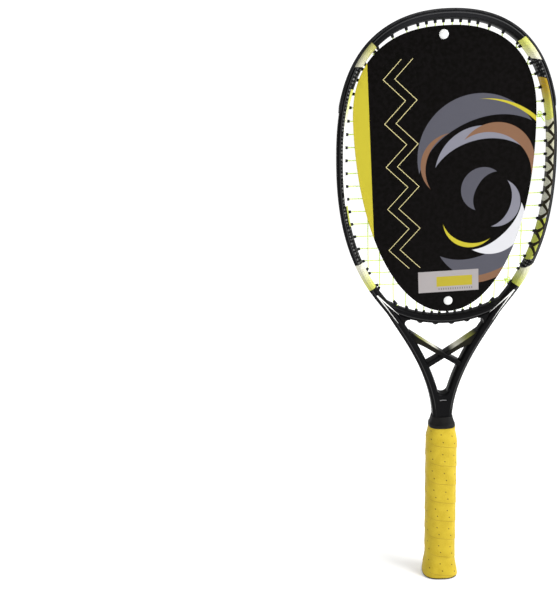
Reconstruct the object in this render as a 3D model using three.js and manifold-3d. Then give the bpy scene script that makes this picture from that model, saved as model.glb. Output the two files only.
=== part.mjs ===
// Crossminton racket with a display card snapped to its string bed.
//
// Millimetres, +Z up along the racket, +X to the right and -Y towards whoever looks at the card.
// The origin is the middle of the flat face of the butt. The frame is a hairpin: it starts
// inside the handle, runs up one leg, round the head and down the other leg. It is modelled in
// four lengths that meet face to face: the crown, two sides, and the fork with the shaft.

import * as THREE from "three";
import { mergeVertices } from "three/addons/utils/BufferGeometryUtils.js";
import Module from "manifold-3d";

const wasm = await Module();
wasm.setup();

// Clearances and overruns
const fit = 0.3;                // gap between two pieces that seat on each other
const cutOverrun = 4;           // how far a cutting shape runs past what it cuts
const weldOverlap = 0.05;       // how far two halves of one piece run into each other
const mergeDistance = 1e-4;     // corners closer than this are one
const searchSteps = 600;        // stretches in which a place along a rail is looked for

// Head hoop and legs
const overallLength = 605;
const headOuterWidth = 217;
const headWidestShare = 0.518;  // widest place of the head, share of its height over the bridge
const frameWidth = 8.6;         // tube of the head, seen from the front
const beamDepth = 17;           // tube of the head, seen from the side
const legWidth = 9.5;
const shaftWidth = 20;          // both legs side by side
const legMiddleShare = 0.4841;  // where the head turns into the leg, share of the head's half width
const legMiddleZ = 305.4;
const legLean = 30;             // degrees from upright at that place
const shaftTopZ = 184;          // below this the legs run straight
const frameFootZ = 5;           // end of the tube inside the handle
const crownHandleShare = 0.988; // pull of the curve at the crown, share of the half width
const shoulderHandleShare = 0.33;
const flankHandleShare = 0.676;
const legHandle = 20;           // pull of the curve on both sides of the leg's middle
const shaftHandle = 55;
const headSteps = 15;           // straight stretches in each curve of the hairpin
const flankSteps = 10;
const throatSteps = 9;
const crotchTopZ = 217;         // bottom of the open throat
const crotchRadius = 6.6;
const crotchDepth = 14.6;
const crotchSteps = 8;
const seamCrossCount = 4;       // crosses that end in the crown's length of tube

// Section of the tube: the string groove is in the outer face
const grooveDepth = 2.55;
const grooveHalfFloor = 3.2;
const grooveHalfMouth = 3.7;
const outerLandHalf = 5.2;      // half depth where the outer bevel starts
const innerLandHalf = 4.2;
const outerBevel = 3.1;
const innerBevel = 2;
const grooveEndZ = 307.4;         // the groove fades out between these heights on the legs
const grooveGoneZ = 287.1;

// Throat bridge and throat cross
const bridgeWidth = 9;
const bridgeDepth = 15;
const bridgeLowestZ = 295.2;
const bridgeRadius = 122.9;       // of its lower face
const bridgeEndReach = 14.4;    // how far it runs past the middle of the leg before it is trimmed
const bridgeSteps = 10;
const crossingZ = 260.1;
const strutRiseShare = 0.62;    // height gained, share of the length to the side
const strutWidth = 5;
const strutRootWidth = 10.5;    // where it meets the leg
const strutFlare = 9;           // length of the widening at each root
const strutNotchReach = 15;     // half length of the cutter of the half lap
const strutDepth = 14;
const strutSpanShare = 0.695;   // half span before it is trimmed, share of the leg's distance
const strutProud = 0.8;         // how far the front strut stands in front of the other

// String bed
const stringRadius = 0.55;
const mainShares = [0.0383, 0.1103, 0.186, 0.26, 0.36, 0.48, 0.6075, 0.716]; // of the half width
const crossCount = 19;
const firstCrossDrop = 32.4;   // first cross below the middle of the tube at the crown
const lastCrossRise = 42.4;     // last cross above the lowest place of the bridge
const secondCrossDrop = 3;      // the second cross sits lower, clear of the outermost main
const bedHalf = stringRadius + fit / 2; // mains lie this far in front of the middle, crosses behind
const knotRadius = 1.5;
const knotReach = 3.6;          // from the barrel mouth to the middle of the knot
const stringSides = 4;

// Grommets
const barrelRadius = 1.5;
const channelRadius = 0.85;
const barrelReach = 2.8;        // how far a barrel stands out inside the hoop
const bendReach = 0.6;          // from the barrel mouth to where the string may bend
const tieCrossCount = 6;        // crosses above the holes in which the mains are tied off
const midShare = 0.5;           // tie-off holes are halfway between two string holes
const stripThickness = 0.8;
const stripEndMargin = 6;       // strip left beyond its last barrel
const bridgeEndMargin = 3;
const barrelSides = 5;
const fanShare = 0.35;          // 0 drills square to the tube, 1 along the string
const bridgeExitShares = [0.0792, 0.2278, 0.3784, 0.5135, 0.6409, 0.7529]; // of the leg's distance

// Bumper guard
const bumperWall = 0.9;
const bumperEndShare = 0.698;   // its lower ends, share of the head's height over the bridge
const bumperLipReach = 1.75;    // how far it comes down the bevels
const bumperLipShares = [1.1, 0.7]; // outer edge of its lip: share of the reach, share of the wall
const bumperMouthShares = [0.2, 0.6]; // rounding of its groove, in shares of the wall

// Handle
const gripTopZ = 179.4;
const gripWidth = 33.6;
const gripDepth = 28.8;
const gripNeckWidth = 29;     // at the collar
const gripNeckDepth = 24.6;
const neckLength = 17;          // from the neck to the full width
const buttWidth = 39.3;
const buttDepth = 34;
const flareLength = 26;
const buttRound = 2.6;
const overgripThickness = 1.5;
const wrapPitch = 22;
const wrapStep = 0.55;          // height of the overlapping edge of the tape
const wrapStepLength = 2.2;
const rowsPerWrap = 4;
const flareShares = [0.13, 0.27, 0.46, 0.7, 1]; // heights of the rings in the flare
const neckShares = [1, 0.66, 0.33];
const baseGripThickness = 0.9;
const capPlate = 1.6;
const capSkirt = 12;
const capWall = 1.1;
const palletSides = 8;
const gripSides = 20;
const gripPower = 2.7;          // of the section: 2 is an ellipse, more is squarer
const collarTopZ = 191.6;
const collarTopWidth = 22.8;
const collarTopDepth = 20.2;
const collarBottomWidth = 28.4;
const collarBottomDepth = 25;
const collarBreakShare = 0.3;   // height at which its lower band ends
const collarBandTaper = 0.6;
const collarEdge = 1;           // height and width of the bevel round its top

// Display card and its snap rivets
const cardSideGap = 19;         // from the widest place of the head in to the card
const cardTopGap = 15.2;          // from the tip of the racket down to the card
const cardBottomRise = 13.8;    // above the lowest place of the bridge
const cardWidestShare = 0.31;   // from the top, where the card is widest
const cardTilt = 1.84;          // degrees, its top leans to the left
const cardMiddleX = -0.5;
const cardTopPower = 2.35;      // 2 is an ellipse, more is squarer
const cardBottomPower = 2.05;
const cardSteps = 11;
const cardThickness = 0.6;
const cardBackY = -2.6;
const cardHoleSides = 12;
const rivetHeadRadius = 4.5;
const rivetHeadHeight = 1.1;
const rivetDomeShares = [[1, 0], [1, 0.35], [0.9, 0.75], [0.55, 1]]; // of the radius, of the height
const rivetSides = 20;
const rivetTopDrop = 8.2;       // below the top of the card
const rivetBottomRise = 10;     // above the bottom of the card
const prongGap = 1.9;           // between the two prongs, which straddle a main
const prongThickness = 1.1;
const prongWidth = 2.4;
const retainerRadius = 6.5;
const retainerThickness = 1.4;
const retainerSides = 24;
const retainerY = fit / 2;      // its face lies against the back of the mains

const degrees = Math.PI / 180;

// Closed bodies from rings of points, and booleans

function bodyFrom(positions, triangles) {
  let volume = 0;
  const corner = triangles.map((t) => t.map((i) => positions[i]));
  for (const [a, b, c] of corner) volume += a.dot(new THREE.Vector3().crossVectors(b, c));
  const geometry = new THREE.BufferGeometry();
  const numbers = positions.flatMap((p) => p.toArray());
  geometry.setAttribute("position", new THREE.Float32BufferAttribute(numbers, 3));
  geometry.setIndex(triangles.flatMap((t) => (volume < 0 ? [t[0], t[2], t[1]] : t)));
  return geometry;
}

// Joins rings with the same number of points. The ends are closed with the section's triangles.
function loft(rings, flatSection) {
  const count = rings[0].length;
  const turned = THREE.ShapeUtils.isClockWise(flatSection);
  const cap = THREE.ShapeUtils.triangulateShape(flatSection, [])
    .map(([a, b, c]) => (turned ? [a, c, b] : [a, b, c]));
  const triangles = cap.map(([a, b, c]) => [a, c, b]);
  for (let r = 0; r + 1 < rings.length; r += 1) {
    for (let i = 0; i < count; i += 1) {
      const next = (i + 1) % count;
      const [a, b, c, d] = [r * count + i, r * count + next, (r + 1) * count + next, (r + 1) * count + i];
      triangles.push([a, b, c], [a, c, d]);
    }
  }
  const last = (rings.length - 1) * count;
  for (const [a, b, c] of cap) triangles.push([last + a, last + b, last + c]);
  return bodyFrom(rings.flat(), triangles);
}

function solid(geometry) {
  const bare = geometry.clone();
  for (const name of Object.keys(bare.attributes)) if (name !== "position") bare.deleteAttribute(name);
  const merged = mergeVertices(bare, mergeDistance);
  return new wasm.Manifold(new wasm.Mesh({
    numProp: 3,
    vertProperties: new Float32Array(merged.attributes.position.array),
    triVerts: new Uint32Array(merged.index.array),
  }));
}

function geometryOf(manifold) {
  const mesh = manifold.getMesh();
  const geometry = new THREE.BufferGeometry();
  geometry.setAttribute("position", new THREE.Float32BufferAttribute(mesh.vertProperties, 3));
  geometry.setIndex(Array.from(mesh.triVerts));
  return geometry;
}

const joined = (parts) => parts.reduce((all, part) => all.add(part));
const cut = (body, cutters) => (cutters.length ? body.subtract(joined(cutters)) : body);

// The part between the legs of a bar that runs past them and is cut by their room
function largestPiece(body) {
  return body.decompose().reduce((best, piece) => (piece.volume() > best.volume() ? piece : best));
}

// A straight rod between two points
function rod(from, to, radius, sides) {
  const along = new THREE.Vector3().subVectors(to, from);
  const geometry = new THREE.CylinderGeometry(radius, radius, along.length(), sides);
  geometry.applyQuaternion(new THREE.Quaternion().setFromUnitVectors(
    new THREE.Vector3(0, 1, 0), along.clone().normalize()));
  geometry.translate(...new THREE.Vector3().addVectors(from, to).multiplyScalar(0.5).toArray());
  return solid(geometry);
}

function box(low, high) {
  const size = new THREE.Vector3().subVectors(high, low);
  const geometry = new THREE.BoxGeometry(size.x, size.y, size.z);
  geometry.translate(...new THREE.Vector3().addVectors(low, high).multiplyScalar(0.5).toArray());
  return solid(geometry);
}

// A cord through a list of points, mitred at each of them
function cord(points, radius, sides) {
  const directions = points.slice(1).map((p, i) => new THREE.Vector3().subVectors(p, points[i]).normalize());
  const side = new THREE.Vector3(0, 1, 0).cross(directions[0]).normalize();
  const rings = [];
  let before = directions[0];
  points.forEach((point, i) => {
    const after = directions[Math.min(i, directions.length - 1)];
    const mitre = new THREE.Vector3().addVectors(before, after).normalize();
    const up = new THREE.Vector3().crossVectors(before, side);
    const ring = [];
    for (let k = 0; k < sides; k += 1) {
      const angle = (2 * Math.PI * k) / sides;
      const offset = side.clone().multiplyScalar(radius * Math.cos(angle))
        .addScaledVector(up, radius * Math.sin(angle));
      offset.addScaledVector(before, -offset.dot(mitre) / before.dot(mitre));
      ring.push(point.clone().add(offset));
    }
    rings.push(ring);
    side.applyQuaternion(new THREE.Quaternion().setFromUnitVectors(before, after));
    before = after;
  });
  const flat = rings[0].map((_, k) => new THREE.Vector2(
    Math.cos((2 * Math.PI * k) / sides), Math.sin((2 * Math.PI * k) / sides)));
  return loft(rings, flat);
}

// A rail is a curved bar in the XZ plane: places along its middle line, each with the
// outward normal and the bar's width. Depths are measured from its outer face inwards.

class Rail {
  constructor(places) {
    this.places = places;
    this.lengths = [0];
    for (let i = 1; i < places.length; i += 1) {
      this.lengths.push(this.lengths[i - 1] + places[i].point.distanceTo(places[i - 1].point));
    }
  }

  get length() {
    return this.lengths[this.lengths.length - 1];
  }

  below(place, depth) {
    return place.point.clone().addScaledVector(place.normal, place.width / 2 - depth);
  }

  // Point at a distance along the rail, at a depth under the outer face and at y across it
  at(distance, depth, y = 0) {
    let i = this.lengths.findIndex((l) => l > distance) - 1;
    if (i < 0) i = this.lengths.length - 2;
    const share = (distance - this.lengths[i]) / (this.lengths[i + 1] - this.lengths[i]);
    const p = this.below(this.places[i], depth).lerp(this.below(this.places[i + 1], depth), share);
    return new THREE.Vector3(p.x, y, p.y);
  }

  // Distance along the rail at which the line at a depth reaches a coordinate
  where(axis, value, depth, from = 0, to = this.length) {
    const step = (to - from) / searchSteps;
    let previous = this.at(from, depth)[axis] - value;
    for (let k = 1; k <= searchSteps; k += 1) {
      const distance = from + k * step;
      const now = this.at(distance, depth)[axis] - value;
      if (previous === 0 || previous * now < 0) return distance - (step * now) / (now - previous);
      previous = now;
    }
    throw new Error(`no place at ${axis} ${value}`);
  }

  // Rings of a section that is a list of [depth under the outer face, y]
  sweep(section, from = 0, to = this.length) {
    const inside = this.places.filter((_, i) => this.lengths[i] > from + fit && this.lengths[i] < to - fit);
    const ends = [from, to].map((distance) => this.placeAt(distance));
    const chosen = [ends[0], ...inside, ends[1]];
    const rings = chosen.map((place) => section(place).map(([depth, y]) => {
      const p = this.below(place, depth);
      return new THREE.Vector3(p.x, y, p.y);
    }));
    const flat = section(ends[0]).map(([depth, y]) => new THREE.Vector2(depth, y));
    return solid(loft(rings, flat));
  }

  placeAt(distance) {
    let i = this.lengths.findIndex((l) => l > distance) - 1;
    if (i < 0) i = this.lengths.length - 2;
    const share = (distance - this.lengths[i]) / (this.lengths[i + 1] - this.lengths[i]);
    const [a, b] = [this.places[i], this.places[i + 1]];
    return {
      point: a.point.clone().lerp(b.point, share),
      normal: a.normal.clone().lerp(b.normal, share),
      width: THREE.MathUtils.lerp(a.width, b.width, share),
    };
  }

  mirrored() {
    return new Rail(this.places.map((place) => ({
      point: new THREE.Vector2(-place.point.x, place.point.y),
      normal: new THREE.Vector2(-place.normal.x, place.normal.y),
      width: place.width,
    })));
  }
}

// The half hairpin from the crown down to the foot of the tube in the handle

const headLength = overallLength - bridgeLowestZ;
const widestHeight = bridgeLowestZ + headLength * headWidestShare;
const crownZ = overallLength - bumperWall - fit - frameWidth / 2;
const flankX = headOuterWidth / 2 - frameWidth / 2;
const legMiddleX = (headOuterWidth / 2) * legMiddleShare;
const legX = shaftWidth / 4 - weldOverlap;

function tubeWidth(z) {
  const legShare = THREE.MathUtils.smoothstep(-z, -(legMiddleZ + legHandle), -(legMiddleZ - legHandle));
  const shaftShare = THREE.MathUtils.smoothstep(-z, -crotchTopZ, -shaftTopZ);
  const leg = THREE.MathUtils.lerp(frameWidth, legWidth, legShare);
  return THREE.MathUtils.lerp(leg, shaftWidth / 2, shaftShare);
}

function hairpinHalf() {
  const crown = new THREE.Vector2(0, crownZ);
  const flank = new THREE.Vector2(flankX, widestHeight);
  const leg = new THREE.Vector2(legMiddleX, legMiddleZ);
  const shaft = new THREE.Vector2(legX, shaftTopZ);
  const foot = new THREE.Vector2(legX, frameFootZ);
  const down = new THREE.Vector2(-Math.sin(legLean * degrees), -Math.cos(legLean * degrees));
  const head = new THREE.CubicBezierCurve(crown,
    new THREE.Vector2(flankX * crownHandleShare, crownZ),
    new THREE.Vector2(flankX, widestHeight + (crownZ - widestHeight) * shoulderHandleShare), flank);
  const side = new THREE.CubicBezierCurve(flank,
    new THREE.Vector2(flankX, widestHeight - (widestHeight - legMiddleZ) * flankHandleShare),
    leg.clone().addScaledVector(down, -legHandle), leg);
  const throat = new THREE.CubicBezierCurve(leg, leg.clone().addScaledVector(down, legHandle),
    new THREE.Vector2(legX, shaftTopZ + shaftHandle), shaft);
  const straight = new THREE.LineCurve(shaft, foot);
  const stretches = [[head, headSteps], [side, flankSteps], [throat, throatSteps], [straight, 1]];
  const places = [{ point: crown, normal: new THREE.Vector2(0, 1), width: tubeWidth(crownZ) }];
  for (const [curve, steps] of stretches) {
    for (let i = 1; i <= steps; i += 1) {
      const tangent = curve.getTangentAt(i / steps);
      const point = curve.getPointAt(i / steps);
      places.push({ point, normal: new THREE.Vector2(-tangent.y, tangent.x), width: tubeWidth(point.y) });
    }
  }
  return new Rail(places);
}

const rightRail = hairpinHalf();
const leftRail = rightRail.mirrored();

// The lower bridge of the head. Its outer face looks down into the throat.
function bridgeRail() {
  const middleRadius = bridgeRadius - bridgeWidth / 2;
  const centreZ = bridgeLowestZ + bridgeRadius;
  const halfAngle = Math.asin((legMiddleX + bridgeEndReach) / middleRadius);
  const places = [];
  for (let i = 0; i <= bridgeSteps; i += 1) {
    const angle = halfAngle * ((2 * i) / bridgeSteps - 1);
    const normal = new THREE.Vector2(Math.sin(angle), -Math.cos(angle));
    places.push({
      point: new THREE.Vector2(0, centreZ).addScaledVector(normal, middleRadius), normal, width: bridgeWidth,
    });
  }
  return new Rail(places);
}

const throatRail = bridgeRail();

// Grommet holes. Each has the point where the string bends inside the hoop, the point where
// it leaves the tube in the groove, and its distance along the rail at the outside.

const seatDepth = grooveDepth - fit - stripThickness - fit - stringRadius;
const stripOuterDepth = grooveDepth - fit - stripThickness;

// The bend's depth is such that the barrel stands out by the same length at any slant.
function hole(rail, side, axis, value, y, options = {}) {
  const [from, to] = options.within ?? [0, rail.length];
  const foot = rail.placeAt(rail.where(axis, value, frameWidth, from, to));
  const slant = Math.acos(Math.abs(axis === "x" ? foot.normal.y : foot.normal.x)) / 2;
  const innerDepth = foot.width + (barrelReach + bendReach) * Math.cos(slant);
  const inner = rail.where(axis, value, innerDepth, from, to);
  const straight = rail.where(axis === "z" ? "z" : "x", options.exitX ?? value, seatDepth, from, to);
  const exit = THREE.MathUtils.lerp(inner, straight, options.exitX === undefined ? fanShare : 1);
  return drilled(rail, side, rail.at(inner, innerDepth, y), exit, y);
}

function tieHole(rail, side, distance, y) {
  return drilled(rail, side, rail.at(distance, frameWidth + barrelReach + bendReach, y), distance, y);
}

function drilled(rail, side, bend, exit, y) {
  const out = rail.at(exit, seatDepth, y);
  return { rail, side, bend, out, exit, way: new THREE.Vector3().subVectors(out, bend).normalize() };
}

const sides = [{ name: "right", sign: 1, rail: rightRail }, { name: "left", sign: -1, rail: leftRail }];
const flankDistance = rightRail.where("z", widestHeight, frameWidth / 2, fit, rightRail.length);
const headRange = [0, rightRail.where("z", legMiddleZ, frameWidth / 2, fit, rightRail.length)];
const topRange = [0, flankDistance];
const lowRange = [flankDistance, headRange[1]];

const mainY = -bedHalf;
const crossY = bedHalf;
const firstCrossZ = crownZ - firstCrossDrop;
const crossPitch = (firstCrossZ - bridgeLowestZ - lastCrossRise) / (crossCount - 1);
const crossZs = Array.from({ length: crossCount }, (_, i) => firstCrossZ - i * crossPitch);
crossZs[1] -= secondCrossDrop;

const mainXs = mainShares.map((share) => (share * headOuterWidth) / 2);
const mains = sides.map(({ sign, rail, name }) => mainXs.map((x, i) => ({
  x: sign * x,
  top: hole(rail, name, "x", sign * x, mainY, { within: topRange }),
  bottom: i < bridgeExitShares.length
    ? hole(throatRail, "throat", "x", sign * x, mainY, { exitX: sign * legMiddleX * bridgeExitShares[i] })
    : hole(rail, name, "x", sign * x, mainY, { within: lowRange }),
})));

const crosses = crossZs.map((z) => ({
  z,
  ends: sides.map(({ rail, name }) => hole(rail, name, "z", z, crossY, { within: headRange })),
}));

const between = (a, b, share) => THREE.MathUtils.lerp(a.exit, b.exit, share);
const mainTies = sides.map(({ rail, name }, s) => tieHole(rail, name,
  between(crosses[tieCrossCount - 1].ends[s], crosses[tieCrossCount].ends[s], midShare), mainY));
const [outerMain, nextMain] = mains[0].slice(-3, -1).reverse();
const topTie = tieHole(rightRail, "right", between(outerMain.top, nextMain.top, midShare), crossY);
const [crossAbove, lowestCross] = crosses.slice(-2);
const lowTie = tieHole(leftRail, "left", between(crossAbove.ends[1], lowestCross.ends[1], midShare), crossY);

const allHoles = [
  ...mains.flat().flatMap((m) => [m.top, m.bottom]),
  ...crosses.flatMap((c) => c.ends), ...mainTies, topTie, lowTie,
];

// Frame

function grooveShare(z) {
  return THREE.MathUtils.clamp((z - grooveGoneZ) / (grooveEndZ - grooveGoneZ), 0, 1);
}

// Section of a bar of the frame, from its inner face over the bevels to the groove outside
function barSection(width, depth, groove, swell = 0) {
  const half = depth / 2 + swell;
  const [outer, inner] = [-swell, width + swell];
  const upper = [
    [inner, innerLandHalf + swell], [inner - innerBevel, half], [outer + outerBevel, half],
    [outer, outerLandHalf + swell], [outer, grooveHalfMouth], [outer + grooveDepth * groove, grooveHalfFloor],
  ];
  return [...upper, ...upper.map(([d, y]) => [d, -y]).reverse()];
}

function tubeHalf(rail) {
  return rail.sweep((place) => barSection(place.width, beamDepth, grooveShare(place.point.y)));
}

// The room that the tube takes, without its groove
function roomHalf(rail) {
  return rail.sweep((place) => barSection(place.width, beamDepth, 0, fit));
}

function prism(points, depth, y = 0) {
  const shape = new THREE.Shape(points.map(([x, z]) => new THREE.Vector2(x, z)));
  const geometry = new THREE.ExtrudeGeometry(shape, { depth, bevelEnabled: false });
  geometry.translate(0, 0, -depth / 2);
  geometry.rotateX(Math.PI / 2);
  geometry.translate(0, y, 0);
  return solid(geometry);
}

// The filled crotch under the open throat, with a round upper edge
function crotchWeb() {
  const points = [[-shaftWidth / 4, shaftTopZ], [shaftWidth / 4, shaftTopZ]];
  const halfWidth = shaftWidth / 2 - legWidth / 4;
  points.push([halfWidth, crotchTopZ + crotchRadius]);
  for (let i = 0; i <= crotchSteps; i += 1) {
    const angle = (Math.PI * i) / crotchSteps;
    points.push([crotchRadius * Math.cos(angle), crotchTopZ + crotchRadius * (1 - Math.sin(angle))]);
  }
  points.push([-halfWidth, crotchTopZ + crotchRadius]);
  return prism(points, crotchDepth);
}

function holeCutters(holes, radius) {
  return holes.map((h) => {
    const end = h.out.clone().addScaledVector(h.way, stringRadius);
    return rod(h.bend, end, radius, barrelSides);
  });
}

const crownSeamZ = THREE.MathUtils.lerp(crossZs[seamCrossCount - 1], crossZs[seamCrossCount], midShare);

function frameLengths() {
  const body = joined([tubeHalf(rightRail), tubeHalf(leftRail), crotchWeb()]);
  const pierced = cut(body, holeCutters(allHoles.filter((h) => h.side !== "throat"), barrelRadius + fit));
  const length = (lowZ, highZ, lowX, highX) => pierced.intersect(box(
    new THREE.Vector3(lowX, -beamDepth, lowZ), new THREE.Vector3(highX, beamDepth, highZ)));
  return {
    crown: length(crownSeamZ, overallLength, -headOuterWidth, headOuterWidth),
    left: length(legMiddleZ, crownSeamZ, -headOuterWidth, 0),
    right: length(legMiddleZ, crownSeamZ, 0, headOuterWidth),
    fork: length(0, legMiddleZ, -headOuterWidth, headOuterWidth),
  };
}

const tubeRoom = joined([roomHalf(rightRail), roomHalf(leftRail)]);

function throatBridge() {
  const section = () => barSection(bridgeWidth, bridgeDepth, 1);
  const body = throatRail.sweep(section);
  const pierced = cut(body, holeCutters(allHoles.filter((h) => h.side === "throat"), barrelRadius + fit));
  return largestPiece(pierced.subtract(tubeRoom));
}

// Turns an outline that lies level round the crossing; lean 1 rises to the right
function leaning(points, lean) {
  const angle = Math.atan(strutRiseShare) * lean;
  return points.map(([a, b]) => [
    a * Math.cos(angle) - b * Math.sin(angle), crossingZ + a * Math.sin(angle) + b * Math.cos(angle),
  ]);
}

// One strut of the throat cross, widening to its roots
function strut(lean, y) {
  const halfLength = legMiddleX * strutSpanShare * Math.hypot(1, strutRiseShare);
  const rootStart = halfLength - strutFlare * 2;
  const [half, rootHalf] = [strutWidth / 2, strutRootWidth / 2];
  const outline = [
    [-halfLength, -rootHalf], [-rootStart, -half], [rootStart - strutFlare, -half],
    [halfLength - strutFlare, -rootHalf], [halfLength, -rootHalf],
    [halfLength, rootHalf], [rootStart, half], [-rootStart, half], [-halfLength, rootHalf],
  ];
  return prism(leaning(outline, lean), strutDepth, y);
}

function crossStruts() {
  const room = strutWidth / 2 + fit;
  const reach = strutNotchReach;
  const notch = (lean, low, high) => {
    const points = [[-reach, -room], [reach, -room], [reach, room], [-reach, room]];
    return prism(leaning(points, lean), high - low, (low + high) / 2);
  };
  const front = strut(-1, -strutProud / 2).subtract(tubeRoom)
    .subtract(notch(1, -fit / 2, strutDepth));
  const back = strut(1, strutProud / 2).subtract(tubeRoom)
    .subtract(notch(-1, -strutDepth, fit / 2));
  return { front: largestPiece(front), back: largestPiece(back) };
}

// Grommet strips and bumper guard

function barrels(holes) {
  return joined(holes.map((h) => rod(
    h.bend.clone().addScaledVector(h.way, bendReach),
    h.out.clone().addScaledVector(h.way, -(seatRoom(h))), barrelRadius, barrelSides)));
}

// Length from the string's seat down to the middle of the strip, along the hole
function seatRoom(h) {
  const normal = h.rail.placeAt(h.exit).normal;
  const square = Math.abs(h.way.x * normal.x + h.way.z * normal.y);
  return (stringRadius + fit + stripThickness / 2) / square;
}

const channels = (holes) => joined(holeCutters(holes, channelRadius));

const stripHalf = grooveHalfFloor - fit;
const bumperEndZ = bridgeLowestZ + headLength * bumperEndShare;
const bumperEnd = rightRail.where("z", bumperEndZ, 0, fit, rightRail.length);
const inBumper = (h) => h.side !== "throat" && h.exit < bumperEnd;

function bumperGuard() {
  const floor = grooveDepth - fit;
  const skin = -fit - bumperWall;
  const lipHalf = outerLandHalf + bumperLipReach;
  const [lipShare, edgeShare] = bumperLipShares;
  const [mouthShare, floorShare] = bumperMouthShares;
  const outerChain = [
    [skin + bumperLipReach * lipShare, lipHalf + bumperWall * edgeShare], [skin, outerLandHalf + fit],
    [skin, stripHalf - bumperWall * mouthShare], [stripOuterDepth, stripHalf - bumperWall * floorShare],
  ];
  const innerChain = [
    [floor, stripHalf], [-fit, grooveHalfMouth - fit], [-fit, outerLandHalf + fit / 2],
    [-fit + bumperLipReach, lipHalf],
  ];
  const flip = (points) => points.map(([d, y]) => [d, -y]).reverse();
  const section = [...outerChain, ...flip(outerChain), ...flip(innerChain), ...innerChain];
  const halves = [rightRail, leftRail].map((rail) => rail.sweep(() => section, 0, bumperEnd));
  const holes = allHoles.filter(inBumper);
  return joined([...halves, barrels(holes)]).subtract(channels(holes));
}

function sideStrip(side, rail) {
  const holes = allHoles.filter((h) => h.side === side && !inBumper(h));
  const exits = holes.map((h) => h.exit);
  const endMargin = side === "throat" ? bridgeEndMargin : stripEndMargin;
  const [low, high] = [stripOuterDepth, stripOuterDepth + stripThickness];
  const from = Math.max(Math.min(...exits) - endMargin, side === "throat" ? 0 : bumperEnd + fit);
  const strip = rail.sweep(() => [
    [low, stripHalf], [high, stripHalf], [high, -stripHalf], [low, -stripHalf],
  ], from, Math.max(...exits) + endMargin);
  return joined([strip, barrels(holes)]).subtract(channels(holes));
}

// Strings. A string stays in its own layer, inside the hoop and along the groove outside it.

function groovePoints(fromHole, toHole) {
  const { rail, exit: start } = fromHole;
  const { exit: end } = toHole;
  const way = Math.sign(end - start);
  const between = (l) => (l - start) * way > channelRadius && (end - l) * way > channelRadius;
  const stops = rail.lengths.filter(between);
  if (way < 0) stops.reverse();
  return stops.map((stop) => rail.at(stop, seatDepth, fromHole.out.y));
}

const goOut = (h) => [h.bend, h.out];
const goIn = (h) => [h.out, h.bend];

function knotPoint(tie) {
  return tie.bend.clone().addScaledVector(tie.way, bendReach - knotReach);
}

function withKnots(points) {
  const knot = (p) => {
    const geometry = new THREE.IcosahedronGeometry(knotRadius, 1);
    geometry.translate(...p.toArray());
    return solid(geometry);
  };
  const string = solid(cord(points, stringRadius, stringSides));
  return joined([string, knot(points[0]), knot(points[points.length - 1])]);
}

// From the crown down the middle main of one half, then out main by main to the tie-off hole
function mainHalf(half, tie) {
  const points = [...goIn(half[0].top)];
  half.forEach((main, i) => {
    const [start, end] = i % 2 ? [main.bottom, main.top] : [main.top, main.bottom];
    if (i > 0) points.push(...goIn(start));
    points.push(...goOut(end));
    const following = half[i + 1];
    const next = following ? (i % 2 ? following.top : following.bottom) : tie;
    points.push(...groovePoints(end, next));
  });
  points.push(...goIn(tie), knotPoint(tie));
  return points;
}

function mainString() {
  const right = mainHalf(mains[0], mainTies[0]);
  const left = mainHalf(mains[1], mainTies[1]);
  const crown = rightRail.at(0, seatDepth, mainY);
  return withKnots([...right.reverse(), crown, ...left]);
}

function crossString() {
  const points = [knotPoint(topTie), ...goOut(topTie), ...groovePoints(topTie, crosses[0].ends[0])];
  crosses.forEach((cross, i) => {
    const from = i % 2;
    const to = 1 - from;
    points.push(...goIn(cross.ends[from]), ...goOut(cross.ends[to]));
    const next = i + 1 < crosses.length ? crosses[i + 1].ends[to] : lowTie;
    points.push(...groovePoints(cross.ends[to], next));
  });
  points.push(...goIn(lowTie), knotPoint(lowTie));
  return withKnots(points);
}

// Handle. Every layer follows one profile of half sizes, taken in by its own depth.

function handleHalf(z, size, neck, butt) {
  const flare = 1 - THREE.MathUtils.smoothstep(z, 0, flareLength);
  const nearNeck = THREE.MathUtils.smoothstep(z, gripTopZ - neckLength, gripTopZ);
  const round = Math.max(buttRound - z, 0);
  const edge = buttRound - Math.sqrt(Math.max(buttRound ** 2 - round ** 2, 0));
  return size / 2 + (flare * (butt - size)) / 2 + (nearNeck * (neck - size)) / 2 - edge;
}

function squareRing(z, halfWidth, halfDepth, count = gripSides) {
  const power = (v) => Math.sign(v) * Math.abs(v) ** (2 / gripPower);
  return Array.from({ length: count }, (_, k) => {
    const angle = (2 * Math.PI * (k + 0.5)) / count;
    return new THREE.Vector3(halfWidth * power(Math.cos(angle)), halfDepth * power(Math.sin(angle)), z);
  });
}

function handleRing(z, inset, count) {
  const width = handleHalf(z, gripWidth, gripNeckWidth, buttWidth) - inset;
  return squareRing(z, width, handleHalf(z, gripDepth, gripNeckDepth, buttDepth) - inset, count);
}

const flatRing = (ring) => ring.map((p) => new THREE.Vector2(p.x, p.y));

function handleLayer(inset, heights, count = gripSides) {
  const rings = heights.map((z) => handleRing(z, inset, count));
  return solid(loft(rings, flatRing(rings[0])));
}

const shaftRoom = box(
  new THREE.Vector3(-shaftWidth / 2 - fit, -beamDepth / 2 - fit, frameFootZ - fit),
  new THREE.Vector3(shaftWidth / 2 + fit, beamDepth / 2 + fit, collarTopZ + cutOverrun));

const baseInset = overgripThickness + fit;
const foamInset = baseInset + baseGripThickness + 2 * fit;

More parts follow.
